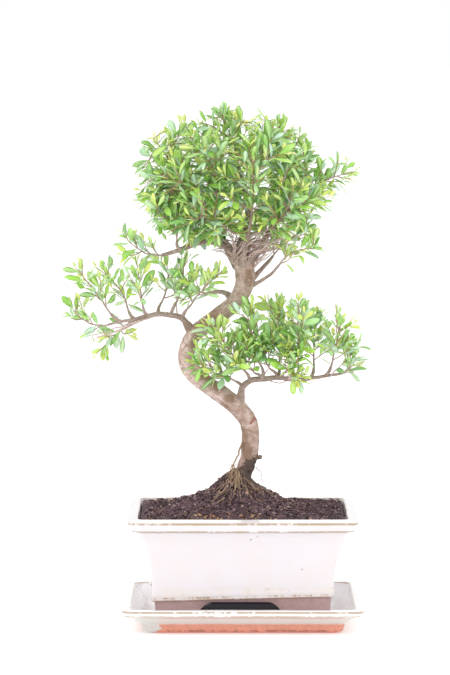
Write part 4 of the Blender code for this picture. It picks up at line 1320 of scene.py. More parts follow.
@dataclass
class Trunk:
    """The S-shaped trunk, its root flare, its surface roots and the thin root that hangs beside it.

    Args:
        soil: The soil that the roots lie on.
        stations: Rings along the trunk.
        columns: Vertices round it.
        scars: Distances up the trunk, in millimetres, of old scars, and each one's strength.
        stains: Middle and half sizes, in millimetres, of brown stains on the bark.
        finish: Its bark.
    """

    soil: Soil
    stations: int = 460
    columns: int = 72
    scars: tuple = ((78, 1.0), (118, 0.45), (132, 0.7), (200, 0.75), (209, 0.3), (262, 0.4))
    stains: tuple = (
        ((0, -8, 173), (5, 9, 15)), ((4, -9, 160), (5, 8, 8)), ((-24, -8, 222), (9, 9, 8)),
        ((-38, -6, 232), (9, 9, 7)), ((-14, -12, 211), (6, 8, 5)), ((-40, -4, 278), (9, 8, 7)),
        ((-30, -5, 285), (8, 8, 5)), ((-46, 0, 262), (5, 10, 10)), ((4, -10, 322), (5, 8, 12)),
        ((30, 10, 200), (30, 10, 20)), ((2, 10, 185), (8, 6, 18)), ((-45, 16, 250), (8, 8, 14)),
    )
    finish: BarkFinish = field(default_factory=lambda: BarkFinish("trunk_bark", soiled_below=0.149))

    def build(self) -> None:
        """Builds the trunk and its roots."""
        route = smooth_route(np.array(TRUNK_ROUTE) * MM, self.stations)
        along = np.linspace(0, np.linalg.norm(np.diff(route, axis=0), axis=1).sum(), self.stations)
        marks = np.linalg.norm(np.array(TRUNK_ROUTE)[:, None] * MM - route[None], axis=-1).argmin(1)
        radius = np.interp(np.arange(self.stations), marks, np.array(TRUNK_RADII) * MM)
        radius = self.settle(radius)
        angle = np.arange(self.columns) * (2 * math.pi / self.columns)
        rings = radius[:, None] * np.ones(self.columns)
        _, side, upper = (part[0] for part in frames_along(route[None]))
        circle = side[:, None] * np.cos(angle)[:, None] + upper[:, None] * np.sin(angle)[:, None]
        rough = route[:, None] + circle * rings[..., None]
        rings += 0.75 * MM * noise(rough, 26 * MM, 2) + 0.35 * MM * noise(rough, 9 * MM, 3)
        rings += 0.16 * MM * noise(rough, 3.2 * MM, 4) + 0.08 * MM * noise(rough, 1.6 * MM, 5)
        crusted = ease(-rough[..., 2] + 0.7 * rough[..., 0], -0.155, -0.143)
        rings += crusted * (0.5 + noise(rough, 4.5 * MM, 9) + 0.6 * noise(rough, 2 * MM, 10)) * 0.9 * MM
        rings += self.flare(route, circle)
        slant = along[:, None] + 1.5 * MM * np.sin(angle)
        scar = sum(power * np.exp(-(((slant - at * MM) / (1.5 * MM)) ** 2)) for at, power in self.scars)
        scar *= 0.25 + 0.75 * ease(noise(rough, 8 * MM, 21), -0.45, 0.25)
        rims = sum(power * np.exp(-(((np.abs(slant - at * MM) - 2.6 * MM) / (1.3 * MM)) ** 2))
                   for at, power in self.scars)
        rings += (0.3 * rims - 0.35 * scar) * MM
        points = carry_ring(route[None], rings[None], self.columns)[0]
        lengths = np.append(np.repeat(along, self.columns), [along[0], along[-1]])
        marks_round = np.append(scar.ravel(), [0, 0])
        piece = make_piece("trunk_and_flare", points, skin(1, self.stations, self.columns),
                           along=lengths, scar=marks_round, stain=self.stained(points))
        finish_piece(piece, self.finish.build(), "bark", "trunk")
        self.build_roots()

    def stained(self, points: Array) -> Array:
        """Brown stains: the sum of a bell round each stain's middle, with its own half sizes."""
        total = np.zeros(len(points))
        for middle, half in self.stains:
            gap = (points / MM - np.array(middle)) / np.array(half)
            total += np.exp(-np.sum(gap**2, axis=1))
        return np.clip(total, 0, 1)

    def settle(self, radius: Array) -> Array:
        """Smooths the radii along the trunk by averaging each with its neighbours."""
        window = np.hanning(31)
        padded = np.pad(radius, 15, mode="edge")
        return np.convolve(padded, window / window.sum(), mode="valid")

    def flare(self, route: Array, circle: Array) -> Array:
        """Buttresses over the roots: lobes that fade out over 14 mm of height above the soil."""
        lift = np.exp(-np.clip(route[:, 2] - 0.134, 0, None) / (5 * MM))
        total = np.zeros(circle.shape[:2])
        for angle, length in self.root_lines():
            towards = np.array((math.cos(angle), math.sin(angle), 0))
            facing = np.clip(circle @ towards, 0, 1) ** 8
            total += facing * (0.5 + 1.2 * length / (60 * MM)) * MM * lift[:, None]
        return total

    def root_lines(self) -> list[tuple[float, float]]:
        """Direction and length of each surface root."""
        degrees = (-14, -38, -72, -97, -128, -158, 176, 146, 112, 78, 46, 14)
        lengths = (56, 34, 46, 40, 52, 34, 44, 36, 48, 42, 30, 38)
        return [(math.radians(a), b * MM) for a, b in zip(degrees, lengths)]

    def build_roots(self) -> None:
        """Surface roots follow the soil, sink towards their tips and wander from side to side."""
        chance = np.random.default_rng(4)
        stations, columns = 40, 12
        share = np.linspace(0, 1, stations)
        paths, radii = [], []
        for angle, length in self.root_lines():
            sway = 0.30 * noise(np.stack([share * 4, share * 0 + angle * 9, share * 0], -1), 1.0, 6) * share
            far = 5 * MM + share * length
            x, y = -3 * MM + far * np.cos(angle + sway), far * np.sin(angle + sway)
            drop = np.interp(share, [0, 0.12, 0.6, 1], [2.5, 0.9, 0.2, -2.2]) * MM
            paths.append(np.stack([x, y, self.soil.smooth_height(x, y) + drop], -1))
            thick = chance.uniform(0.8, 1.5) * MM * (0.4 + 0.9 * (length / (56 * MM)) ** 2)
            radii.append(thick * (1 - share) ** 0.7 + 0.3 * MM)
        paths, radii = np.array(paths), np.array(radii)
        rings = radii[..., None] * np.ones(columns)
        rings *= 1 + 0.22 * noise(paths[..., None, :] + np.arange(columns)[:, None] * 3 * MM, 5 * MM, 8)
        points = carry_ring(paths, rings, columns)
        along = np.tile(np.linspace(0, 0.05, points.shape[1]), len(paths))
        piece = make_piece("surface_roots", points.reshape(-1, 3), skin(len(paths), stations, columns),
                           along=along, scar=np.zeros(len(along)))
        root_bark = BarkFinish("root_bark", light=(0.24, 0.155, 0.11), mid=(0.11, 0.068, 0.055),
                               dark=(0.04, 0.026, 0.025)).build()
        finish_piece(piece, root_bark, "bark", "trunk")
        self.build_fine_roots(root_bark)

    def root_bunch(self) -> list[list[Point]]:
        """Routes, in millimetres, of thin rootlets that fan out in front of the trunk and lie on the soil."""
        chance = np.random.default_rng(12)
        routes = []
        for _ in range(20):
            angle, far = math.radians(chance.normal(-98, 34)), chance.uniform(7, 26)
            steps = np.linspace(0, 1, 5)
            bend = angle + chance.normal(0, 0.35) * steps
            x = -6 + chance.normal(0, 2.5) + (4 + far * steps) * np.cos(bend)
            y = -4 + (6 + far * steps) * np.sin(bend)
            level = self.soil.height(x * MM, y * MM) / MM
            z = level + np.array((chance.uniform(4, 12), 2.5, 0.9, 0.7, -0.5))
            routes.append(list(zip(x, y, z)))
        return routes

    def build_fine_roots(self, bark: bpy.types.Material) -> None:
        """The thin root that leaves the trunk and hangs to the soil, the knob and the tan rootlets."""
        hanging = [(-1, -6, 170), (-4, -9, 163), (-7, -11, 154), (-10.5, -12, 147), (-12, -13, 140),
                   (-12.5, -14, 134), (-11, -16, 126)]
        tan = [(-7, -10, 146), (-8, -13, 138), (-8.5, -18, 130), (-9, -25, 125), (-10, -30, 121)]
        tan_two = [(-5, -10, 143), (-3, -14, 135), (2, -20, 128), (7, -27, 121), (9, -33, 115)]
        tan_three = [(-7, -11, 144), (-12, -15, 136), (-18, -21, 129), (-26, -28, 121), (-31, -33, 116)]
        long_fibre = [(-18, -27, 120), (-30, -36, 115), (-44, -40, 110), (-58, -45, 107.5), (-66, -48, 105)]
        right_rootlet = [(11, -6, 146), (14.5, -8, 141), (16, -9, 136), (18, -9, 131)]
        high_left = [(-7, -10, 150), (-9, -11, 147), (-9.5, -12.5, 143)]
        routes = [hanging, tan, tan_two, tan_three, long_fibre, right_rootlet, high_left, *self.root_bunch()]
        thick = [(0.95, 0.75), (0.8, 0.3), (0.55, 0.25), (0.5, 0.25), (0.5, 0.25), (0.5, 0.25), (0.4, 0.2)]
        thick += [(0.38, 0.13), (0.5, 0.16)] * 10
        paths = np.array([smooth_route(np.array(route) * MM, 44) for route in routes])
        broad = np.stack([noise(paths, 7 * MM, 30 + k) for k in range(3)], -1)
        fine = np.stack([noise(paths, 3 * MM, 35 + k) for k in range(3)], -1)
        wander = (broad + fine) * MM
        paths += wander * np.sin(np.linspace(0, math.pi, 44))[None, :, None]
        radii = np.array([np.linspace(*pair, 44) for pair in thick]) * MM
        radii *= 1 + 0.15 * noise(paths, 4 * MM, 17)
        points = carry_ring(paths, radii, 10)
        along = np.tile(np.linspace(0, 0.05, points.shape[1]), len(paths))
        piece = make_piece("hanging_root_and_rootlets", points.reshape(-1, 3), skin(len(paths), 44, 10),
                           along=along, scar=np.zeros(len(along)))
        tan_bark = BarkFinish("tan_root_bark", light=(0.56, 0.40, 0.27), mid=(0.30, 0.19, 0.12),
                              dark=(0.12, 0.07, 0.05)).build()
        finish_piece(piece, tan_bark, "bark", "trunk")
        knob = smooth_route(np.array([(10, -4, 153.5), (13.5, -5, 155), (16.5, -6, 156)]) * MM, 16)[None]
        swell = np.interp(np.linspace(0, 1, 16), [0, 0.35, 0.8, 1], [1.9, 1.5, 2.2, 1.5])[None] * MM
        points = carry_ring(knob, swell, 14)
        piece = make_piece("pruned_knob", points[0], skin(1, 16, 14),
                           along=np.zeros(points.shape[1]), scar=np.zeros(points.shape[1]))
        finish_piece(piece, bark, "bark", "trunk")


# Limbs and foliage.


@dataclass(frozen=True)
class Shoot:
    """A side shoot: the limb point it leaves, where its wood ends, and where its leafy twig ends."""

    fork: int
    knee: Point
    tip: Point


class Habit(Enum):
    """How a limb's twigs grow: twigs for each 10 mm, their length, and how strongly they turn upward."""

    DENSE = (2.1, 27.0, 0.25)
    UPRIGHT = (2.5, 25.0, 0.40)
    LOOSE = (1.15, 22.0, 0.35)


@dataclass
class Limb:
    """A limb with its shoots and leaves.

    Args:
        node: The CAD node of its wood. Its sprays' nodes start with the same words.
        route: Where its wood runs, in millimetres.
        radii: Radius at its start and its end, in millimetres.
        shoots: Its side shoots.
        tip: Where its own leafy twig ends.
        habit: How its twigs grow.
    """

    node: str
    route: list[Point]
    radii: tuple[float, float]
    shoots: list[Shoot]
    tip: Point
    habit: Habit = Habit.DENSE

    def stem(self) -> str:
        """The words that its sprays' names start with."""
        return self.node.replace("_branch", "").replace("_limb", "")

    def sprays(self) -> list[str]:
        """The CAD nodes of its leafy sprays."""
        return sorted(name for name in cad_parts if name.startswith(self.stem() + "_spray_"))


LIMBS = [
    Limb("left_low_branch",
         [(-47, 5, 270), (-52, 4, 277), (-58, 2, 285), (-68, 0, 288), (-80, -3, 289), (-90, -6, 288),
          (-102, -9, 285), (-115, -12, 283), (-130, -14, 279)], (3.1, 0.75),
         [Shoot(2, (-49, -14, 299), (-20, -26, 330)), Shoot(3, (-62, -6, 302), (-58, -16, 345)),
          Shoot(4, (-76, 8, 301), (-72, 20, 338)), Shoot(5, (-94, -16, 299), (-99, -24, 340)),
          Shoot(6, (-109, 4, 296), (-138, 10, 332)), Shoot(7, (-126, -18, 294), (-156, -18, 334)),
          Shoot(6, (-110, 6, 276), (-138, 16, 250))], (-162, -20, 301), Habit.LOOSE),
    Limb("left_middle_branch",
         [(-10, -1, 301), (-16, 8, 307), (-25, 18, 308), (-36, 27, 306)], (2.6, 1.2), [],
         (-70, 48, 316), Habit.LOOSE),
    Limb("left_top_branch",
         [(-1, -1, 337), (-11, -3, 349), (-28, -6, 357), (-42, -12, 356), (-59, -16, 350), (-76, -18, 345)],
         (3.6, 1.6),
         [Shoot(3, (-47, -2, 367), (-66, 6, 398)), Shoot(4, (-62, -26, 360), (-86, -38, 392))],
         (-112, -28, 366), Habit.LOOSE),
    Limb("right_fork_branch",
         [(-2, -3, 317), (8, 1, 322), (19, 8, 333), (27, 14, 342)], (2.8, 1.2), [],
         (66, 34, 362), Habit.LOOSE),
    Limb("right_small_branch",
         [(0, -3, 313), (11, -6, 318), (24, -12, 326), (33, -19, 337)], (1.9, 1.0), [],
         (72, -30, 352), Habit.LOOSE),
    Limb("crown_centre_limb",
         [(-3, 0, 344), (0, 2, 360), (4, 3, 384), (0, 4, 408), (-4, 3, 424)], (4.6, 1.4),
         [Shoot(2, (-10, -10, 398), (-34, -34, 440)), Shoot(3, (14, 12, 422), (36, 18, 470))],
         (-24, -2, 478)),
    Limb("crown_left_limb",
         [(-1, 0, 330), (-10, 6, 338), (-20, 10, 356), (-32, 8, 376), (-44, 4, 392)], (3.6, 1.2),
         [Shoot(3, (-36, -12, 392), (-70, -34, 416)), Shoot(3, (-30, 22, 390), (-50, 30, 446))],
         (-84, -4, 452)),
    Limb("crown_right_limb",
         [(0, -1, 333), (9, -2, 342), (18, -3, 356), (28, -3, 372), (42, -4, 386)], (3.6, 1.2),
         [Shoot(3, (36, -18, 382), (78, -32, 400)), Shoot(3, (30, 12, 388), (62, 20, 444))],
         (103, -8, 422)),
    Limb("crown_front_limb",
         [(-1, -2, 332), (-1, -12, 341), (3, -26, 361), (6, -38, 380)], (3.2, 1.2),
         [Shoot(2, (-12, -32, 368), (-44, -58, 388)), Shoot(2, (19, -32, 368), (44, -60, 412))],
         (8, -54, 432)),
    Limb("crown_back_limb",
         [(-1, 1, 331), (2, 12, 341), (-1, 28, 364), (-6, 42, 384)], (3.2, 1.2),
         [Shoot(2, (-18, 36, 370), (-56, 56, 404)), Shoot(2, (14, 34, 370), (50, 58, 404))],
         (-4, 56, 440)),
    Limb("right_low_branch",
         [(-4, -5, 205), (-3, -8, 214), (-1, -11, 222), (6, -14, 228), (18, -16, 230), (31, -16, 231),
          (47, -14, 229), (62, -12, 230), (76, -10, 232), (90, -8, 234)], (3.1, 1.0),
         [Shoot(2, (-11, -22, 230), (-50, -38, 248)), Shoot(3, (-3, -28, 242), (-32, -42, 286)),
          Shoot(4, (14, -24, 246), (2, -30, 298)), Shoot(5, (33, -4, 246), (30, 8, 302)),
          Shoot(4, (10, -24, 236), (8, -38, 262)), Shoot(5, (24, -22, 240), (28, -30, 274)),
          Shoot(6, (44, -20, 238), (38, -40, 262)),
          Shoot(5, (38, -32, 238), (50, -56, 232)), Shoot(6, (50, -24, 244), (50, -34, 304)),
          Shoot(7, (65, 0, 245), (68, 14, 288)), Shoot(8, (82, -20, 247), (90, -22, 286))],
         (98, -8, 258), Habit.UPRIGHT),
]


@dataclass
class Crown:
    """The leafy dome over the trunk, which extra twigs fill evenly.

    Args:
        centre: Its middle.
        half: Its half sizes.
        boxy: 2 for an ellipsoid, more for a squarer dome.
        fillers: Number of extra twigs.
    """

    centre: Point = (-13.0, 0.0, 411.0)
    half: Point = (84.0, 63.0, 63.0)
    boxy: float = 2.4
    fillers: int = 390

    def targets(self, chance: np.random.Generator) -> Array:
        """Chance places in the dome, kept apart by taking the farthest of several tries. Its underside is
        hollow over the fork: it rises by a bell across X."""
        way = unit(chance.normal(size=(self.fillers * 6, 3)))
        way /= np.sum(np.abs(way) ** self.boxy, axis=1, keepdims=True) ** (1 / self.boxy)
        far = chance.uniform(0.3, 1.0, (len(way), 1)) ** 0.5
        cloud = (np.array(self.centre) + way * far * np.array(self.half)) * MM
        lowest = 349 + 17 * np.exp(-((cloud[:, 0] / (38 * MM)) ** 2))
        cloud = cloud[cloud[:, 2] > lowest * MM]
        chosen = [cloud[0]]
        gap = np.linalg.norm(cloud - chosen[0], axis=1)
        while len(chosen) < self.fillers:
            pick = int(gap.argmax())
            chosen.append(cloud[pick])
            gap = np.minimum(gap, np.linalg.norm(cloud - cloud[pick], axis=1))
        return np.array(chosen)


@dataclass
class Foliage:
    """Grows every limb's wood, twigs and leaves.

    Args:
        limbs: The limbs.
        crown: The dome that extra twigs fill.
        leaf_length: Length of a full-grown leaf.
        leaf_width: Width of a full-grown leaf.
        node_step: Distance between pairs of leaves.
    """

    limbs: list[Limb]
    crown: Crown = field(default_factory=Crown)
    leaf_length: float = 20.0 * MM
    leaf_width: float = 7.3 * MM
    node_step: float = 6.6 * MM
    twig_stations: int = 9
    leaf_total: int = 0

    def build(self) -> None:
        """Grows the limbs one after another, and gives each crown limb its share of the extra twigs."""
        bark = BarkFinish("limb_bark", light=(0.50, 0.39, 0.345), mid=(0.33, 0.24, 0.20)).build()
        twig, leaf = TwigFinish().build(), LeafFinish().build()
        skeletons = [self.main_twigs(limb) for limb in self.limbs]
        targets = self.crown.targets(np.random.default_rng(77))
        inner = [k for k, limb in enumerate(self.limbs) if limb.node.startswith("crown")]
        gaps = np.stack([np.linalg.norm(targets[:, None] - skeletons[k].reshape(-1, 3)[None], axis=-1).min(1)
                         for k in inner])
        owner = np.array(inner)[gaps.argmin(0)]
        for number, limb in enumerate(self.limbs):
            self.build_wood(limb, bark)
            self.build_twigs(limb, skeletons[number], targets[owner == number], number, twig, leaf)
        grey = TwigFinish("dry_bare_wood", old=(0.72, 0.57, 0.54), red=(0.66, 0.40, 0.33)).build()
        self.build_thicket(grey)
        self.build_bare_twigs(grey)

    def build_thicket(self, twig: bpy.types.Material) -> None:
        """Bare crossing twigs under the crown: curves from the fork to chance places in a flat ring round it,
        shaken by three noises."""
        chance = np.random.default_rng(5)
        count, stations = 120, 22
        angle = chance.uniform(0, 2 * math.pi, count)
        out = np.stack([np.cos(angle), np.sin(angle), np.zeros(count)], -1)
        start = (np.array((0, -1, 338)) + out * chance.uniform(1, 9, (count, 1)) * (1, 0.8, 0)) * MM
        start[:, 2] += chance.uniform(-7, 14, count) * MM
        reach = chance.uniform(0.25, 1.0, (count, 1)) * np.array((48, 36, 0))
        end = (np.array((8, -14, 357)) + out * reach) * MM
        end[:, 2] += chance.uniform(-9, 14, count) * MM
        turn = np.stack([-out[:, 1], out[:, 0], np.zeros(count)], -1) * chance.normal(0, 1.1, (count, 1))
        paths = arcs(start, unit(out * 0.5 + turn + 0.7 * UP), end, stations)
        shake = np.stack([noise(paths + angle[:, None, None] * 0.01, 10 * MM, 80 + k) for k in range(3)], -1)
        paths += shake * 3.2 * MM * np.sin(np.linspace(0, math.pi, stations))[None, :, None]
        radii = np.linspace(0.75, 0.32, stations)[None] * MM * chance.uniform(0.6, 1.35, (count, 1))
        points = carry_ring(paths, radii, 6)
        tone = np.repeat(chance.uniform(0, 0.18, count), points.shape[1])
        piece = make_piece("crown_thicket", points.reshape(-1, 3), skin(count, stations, 6), tone=tone)
        finish_piece(piece, twig, "bark", "crown_front_limb")

    def build_bare_twigs(self, twig: bpy.types.Material) -> None:
        """Leafless twigs of the two low branches: tubes along short listed routes, and a rough burr where
        the right one was cut back."""
        left = [
            [(-80, -3, 288), (-96, -8, 283), (-114, -12, 275), (-135, -14, 269)],
            [(-86, -4, 287), (-100, 0, 281), (-118, -4, 273), (-137, -8, 268)],
            [(-92, -6, 286), (-108, -12, 279.5), (-122, -16, 273), (-140, -16, 267)],
            [(-102, -8, 283), (-116, -2, 277), (-130, 2, 272), (-146, 0, 268)],
            [(-62, 1, 286), (-63, 4, 300), (-62, 6, 318), (-61, 5, 336)],
        ]
        right = [
            [(84, -9, 232), (92, -8, 233.5), (100, -7, 235), (105, -7, 235.5)],
            [(80, -10, 231.5), (91, -9, 243), (97, -8, 248), (102, -8, 254)],
            [(98, -7, 235), (99.5, -7, 241), (100.5, -8, 248), (102, -8, 255)],
            [(101, -7, 236), (105, -6, 240), (108, -5, 242), (112, -5, 246)],
            [(88, -20, 272), (86, -21, 283), (85, -20, 292), (84.5, -19, 300)],
            [(22, -17, 229.5), (28, -20, 227), (34, -20, 226.2), (42, -16, 229)],
            [(18, -16, 230), (21, -22, 238), (24, -26, 244), (27, -28, 252)],
        ]
        paths = np.array([smooth_route(np.array(route) * MM, 30) for route in left + right])
        shake = np.stack([noise(paths, 6 * MM, 90 + k) for k in range(3)], -1) * 0.8 * MM
        paths += shake * np.sin(np.linspace(0, math.pi, 30))[None, :, None]
        radii = np.linspace(0.72, 0.34, 30)[None] * MM * (1 + 0.2 * noise(paths, 3 * MM, 95))
        points = carry_ring(paths, radii, 7)
        tone = np.tile(np.linspace(0, 0.3, points.shape[1]), len(paths))
        piece = make_piece("bare_twigs", points.reshape(-1, 3), skin(len(paths), 30, 7), tone=tone)
        finish_piece(piece, twig, "bark", "left_low_branch", "right_low_branch")
        burr = smooth_route(np.array([(39, -15, 231), (44, -15, 231.5), (51, -14, 229.5)]) * MM, 26)[None]
        swell = 3.4 * MM * np.sin(np.linspace(0.25, math.pi - 0.25, 26))[None, :, None] * np.ones(16)
        around = burr[..., None, :] + np.arange(16)[:, None] * 1.9 * MM
        swell = swell * (1 + 0.4 * noise(around, 3 * MM, 96) + 0.25 * noise(around, 1.4 * MM, 97))
        points = carry_ring(burr, swell, 16)
        piece = make_piece("pruning_burr", points[0], skin(1, 26, 16), tone=np.full(points.shape[1], 0.1))
        finish_piece(piece, twig, "bark", "right_low_branch")

    def fork_routes(self, limb: Limb) -> list[Array]:
        """The wood of a limb: its own route, then each side shoot from its fork to its knee."""
        route = np.array(limb.route, dtype=float) * MM
        lines = [route]
        for shoot in limb.shoots:
            knee = np.array(shoot.knee) * MM
            fork = route[shoot.fork]
            swing = unit((knee - fork) + 0.25 * (route[shoot.fork] - route[shoot.fork - 1]))
            lines.append(np.array([fork, fork + swing * np.linalg.norm(knee - fork) * 0.45, knee]))
        return lines

    def build_wood(self, limb: Limb, bark: bpy.types.Material) -> None:
        """Tubes for the limb and its shoots: they taper, swell where they leave older wood, and are lumpy."""
        stations, columns = 90, 14
        paths = np.array([smooth_route(line, stations) for line in self.fork_routes(limb)])
        wander = np.stack([noise(paths, 11 * MM, 40 + k) for k in range(3)], -1) * 0.5 * MM
        paths += wander * np.sin(np.linspace(0, math.pi, stations))[None, :, None]
        share = np.linspace(0, 1, stations)
        first, last = limb.radii
        radii = [first * (1 - share) ** 0.8 + last * (1 - (1 - share) ** 0.8)]
        radii += [1.45 * (1 - share) + 0.85 * share for _ in limb.shoots]
        radii = np.array(radii) * MM
        run = np.linalg.norm(np.diff(paths, axis=1), axis=-1).sum(1)[:, None] * share
        radii[0] *= 1 + 0.55 * np.exp(-run[0] / (7 * MM))
        radii[1:] *= 1 + 0.45 * np.exp(-run[1:] / (3 * MM))
        rings = radii[..., None] * np.ones(columns)
        around = paths[..., None, :] + np.arange(columns)[:, None] * 1.7 * MM
        rings *= 1 + 0.12 * noise(around, 4.5 * MM, 12) + 0.06 * noise(around, 1.6 * MM, 13)
        knots = np.clip(noise(np.dstack([run, run * 0, run * 0]), 8 * MM, 51), 0.35, 1) - 0.35
        rings *= 1 + 0.35 * knots[..., None]
        points = carry_ring(paths, rings, columns)
        numbers = np.concatenate([np.repeat(run, columns, axis=1), np.zeros((len(paths), 2))], axis=1)
        piece = make_piece(limb.stem() + "_wood", points.reshape(-1, 3), skin(len(paths), stations, columns),
                           along=numbers.ravel(), scar=np.zeros(numbers.size))
        finish_piece(piece, bark, "bark", limb.node)

    def main_twigs(self, limb: Limb) -> Array:
        """The twig that continues the limb, and the one that continues each shoot."""
        lines = self.fork_routes(limb)
        tips = [limb.tip, *[shoot.tip for shoot in limb.shoots]]
        start = np.array([line[-1] for line in lines])
        way = unit(np.array([line[-1] - line[-2] for line in lines]))
        return arcs(start, unit(way + 0.25 * UP), np.array(tips) * MM, self.twig_stations)

    def side_twigs(self, mains: Array, habit: Habit, chance: np.random.Generator) -> tuple[Array, Array]:
        """Twigs that leave the main twigs, each turned by the golden angle from the one before.

        Args:
            mains: The main twigs.
            habit: How many there are, how long, and how upright.
            chance: Source of chance.

        Returns:
            The twigs' curves, and the first radius of each.
        """
        rate, long, rise = habit.value
        tangent, side, upper = frames_along(mains)
        lengths = np.linalg.norm(np.diff(mains, axis=1), axis=-1).sum(1)
        starts, ways, ends = [], [], []
        for k, length in enumerate(lengths):
            count = max(3, int(round(length / (10 * MM) * rate)))
            share = (np.arange(count) + chance.uniform(0.1, 0.9, count)) / count * 0.86
            place = share * (self.twig_stations - 1)
            cell = np.minimum(place.astype(int), self.twig_stations - 2)
            part = (place - cell)[:, None]
            base = mains[k, cell] * (1 - part) + mains[k, cell + 1] * part
            turn = np.arange(count) * GOLDEN_ANGLE + chance.uniform(0, 6.28) + chance.normal(0, 0.25, count)
            turn = turn[:, None]
            out = side[k, cell] * np.cos(turn) + upper[k, cell] * np.sin(turn)
            way = unit(out * 0.95 + tangent[k, cell] * 0.7)
            reach = (long * (1 - 0.5 * share) * chance.uniform(0.6, 1.2, count))[:, None] * MM
            far = base + unit(way + UP * rise + chance.normal(0, 0.18, (count, 3))) * reach
            starts.append(base)
            ways.append(way)
            ends.append(far)
        starts, ways, ends = (np.vstack(part) for part in (starts, ways, ends))
        return arcs(starts, ways, ends, self.twig_stations), np.full(len(starts), 0.62 * MM)

    def filler_twigs(self, skeleton: Array, targets: Array, chance: np.random.Generator) -> Array:
        """Twigs from the nearest wood towards places that the crown still has free."""
        wood = skeleton.reshape(-1, 3)
        gaps = np.linalg.norm(targets[:, None] - wood[None], axis=-1)
        base = wood[gaps.argmin(1)]
        way = unit(unit(targets - base) * 0.6 + chance.normal(0, 0.3, targets.shape) + 0.2 * UP)
        return arcs(base, way, targets, self.twig_stations)

    def build_twigs(self, limb: Limb, mains: Array, targets: Array, seed: int,
                    twig: bpy.types.Material, leaf: bpy.types.Material) -> None:
        """Builds a limb's twigs as one piece and its leaves as another."""
        chance = np.random.default_rng(1000 + seed)
        sides, thick = self.side_twigs(mains, limb.habit, chance)
        paths, first = [mains, sides], [np.full(len(mains), 0.9 * MM), thick]
        if len(targets):
            paths.append(self.filler_twigs(np.concatenate([mains, sides]), targets, chance))
            first.append(np.full(len(targets), 0.62 * MM))
        paths, first = np.concatenate(paths), np.concatenate(first)
        share = np.linspace(0, 1, self.twig_stations)
        swerve = np.stack([noise(paths, 9 * MM, 60 + k + seed) for k in range(3)], -1) * 1.1 * MM
        paths = paths + swerve * np.sin(share * math.pi)[None, :, None]
        radii = first[:, None] * (1 - share) + 0.30 * MM * share
        points = carry_ring(paths, radii, 6)
        youth = np.clip(chance.normal(0.5, 0.32, len(paths)), 0, 1)
        tone = share[None, :] * (0.35 + 0.75 * youth[:, None])
        tone[:len(mains)] *= 0.7
        numbers = np.concatenate([np.repeat(tone, 6, axis=1), tone[:, :1], tone[:, -1:]], axis=1)
        piece = make_piece(limb.stem() + "_twigs", points.reshape(-1, 3),
                           skin(len(paths), self.twig_stations, 6), tone=numbers.ravel())
        finish_piece(piece, twig, "bark", limb.node)
        self.build_leaves(limb, paths, youth, chance, leaf)

    def build_leaves(self, limb: Limb, paths: Array, youth: Array, chance: np.random.Generator,
                     leaf: bpy.types.Material) -> None:
        """Pairs of leaves along every twig, each pair turned a quarter from the one before.

        A pair's leaves point along tangent + side and tangent - side, they shrink and lighten towards the
        twig's tip, and their upper faces turn towards the light.
        """
        tangent, side, upper = frames_along(paths)
        lengths = np.linalg.norm(np.diff(paths, axis=1), axis=-1).sum(1)
        spin = chance.uniform(0, math.pi, len(paths))
        step = self.node_step * chance.uniform(0.85, 1.25, len(paths))
        base, axis, size, tone = [], [], [], []
        for number in range(16):
            from_tip = 0.8 * MM + number * step * (0.75 + 0.05 * number)
            live = np.nonzero(from_tip < lengths - 3.5 * MM)[0]
            if len(live) == 0:
                break
            share = 1 - from_tip[live] / lengths[live]
            place = share * (self.twig_stations - 1)
            cell = np.minimum(place.astype(int), self.twig_stations - 2)
            part = (place - cell)[:, None]
            centre = paths[live, cell] * (1 - part) + paths[live, cell + 1] * part
            turn = (spin[live] + number * math.pi / 2 + chance.normal(0, 0.2, len(live)))[:, None]
            out = side[live, cell] * np.cos(turn) + upper[live, cell] * np.sin(turn)
            along = tangent[live, cell]
            spread = 0.42 + 0.55 * min(number, 3) / 3
            grown = np.interp(number, [0, 1, 2, 4, 9], [0.45, 0.72, 0.92, 1.0, 0.95])
            for sign in (1, -1):
                kept = chance.random(len(live)) < 0.93
                way = along * 0.75 + out * sign * spread + UP * 0.12 + chance.normal(0, 0.16, out.shape)
                base.append(centre[kept])
                axis.append(unit(way[kept]))
                size.append(grown * chance.uniform(0.72, 1.15, len(live))[kept])
                fresh = np.interp(number, [0, 1, 3, 6], [1.0, 0.72, 0.42, 0.25])
                aged = fresh * (0.35 + 0.8 * youth[live]) + chance.normal(0, 0.10, len(live))
                tone.append(np.clip(aged[kept], 0, 1))
        base, axis = np.vstack(base), np.vstack(axis)
        size, tone = np.concatenate(size), np.concatenate(tone)
        self.leaf_total += len(base)
        self.write_leaves(limb, base, axis, size, tone, chance, leaf)

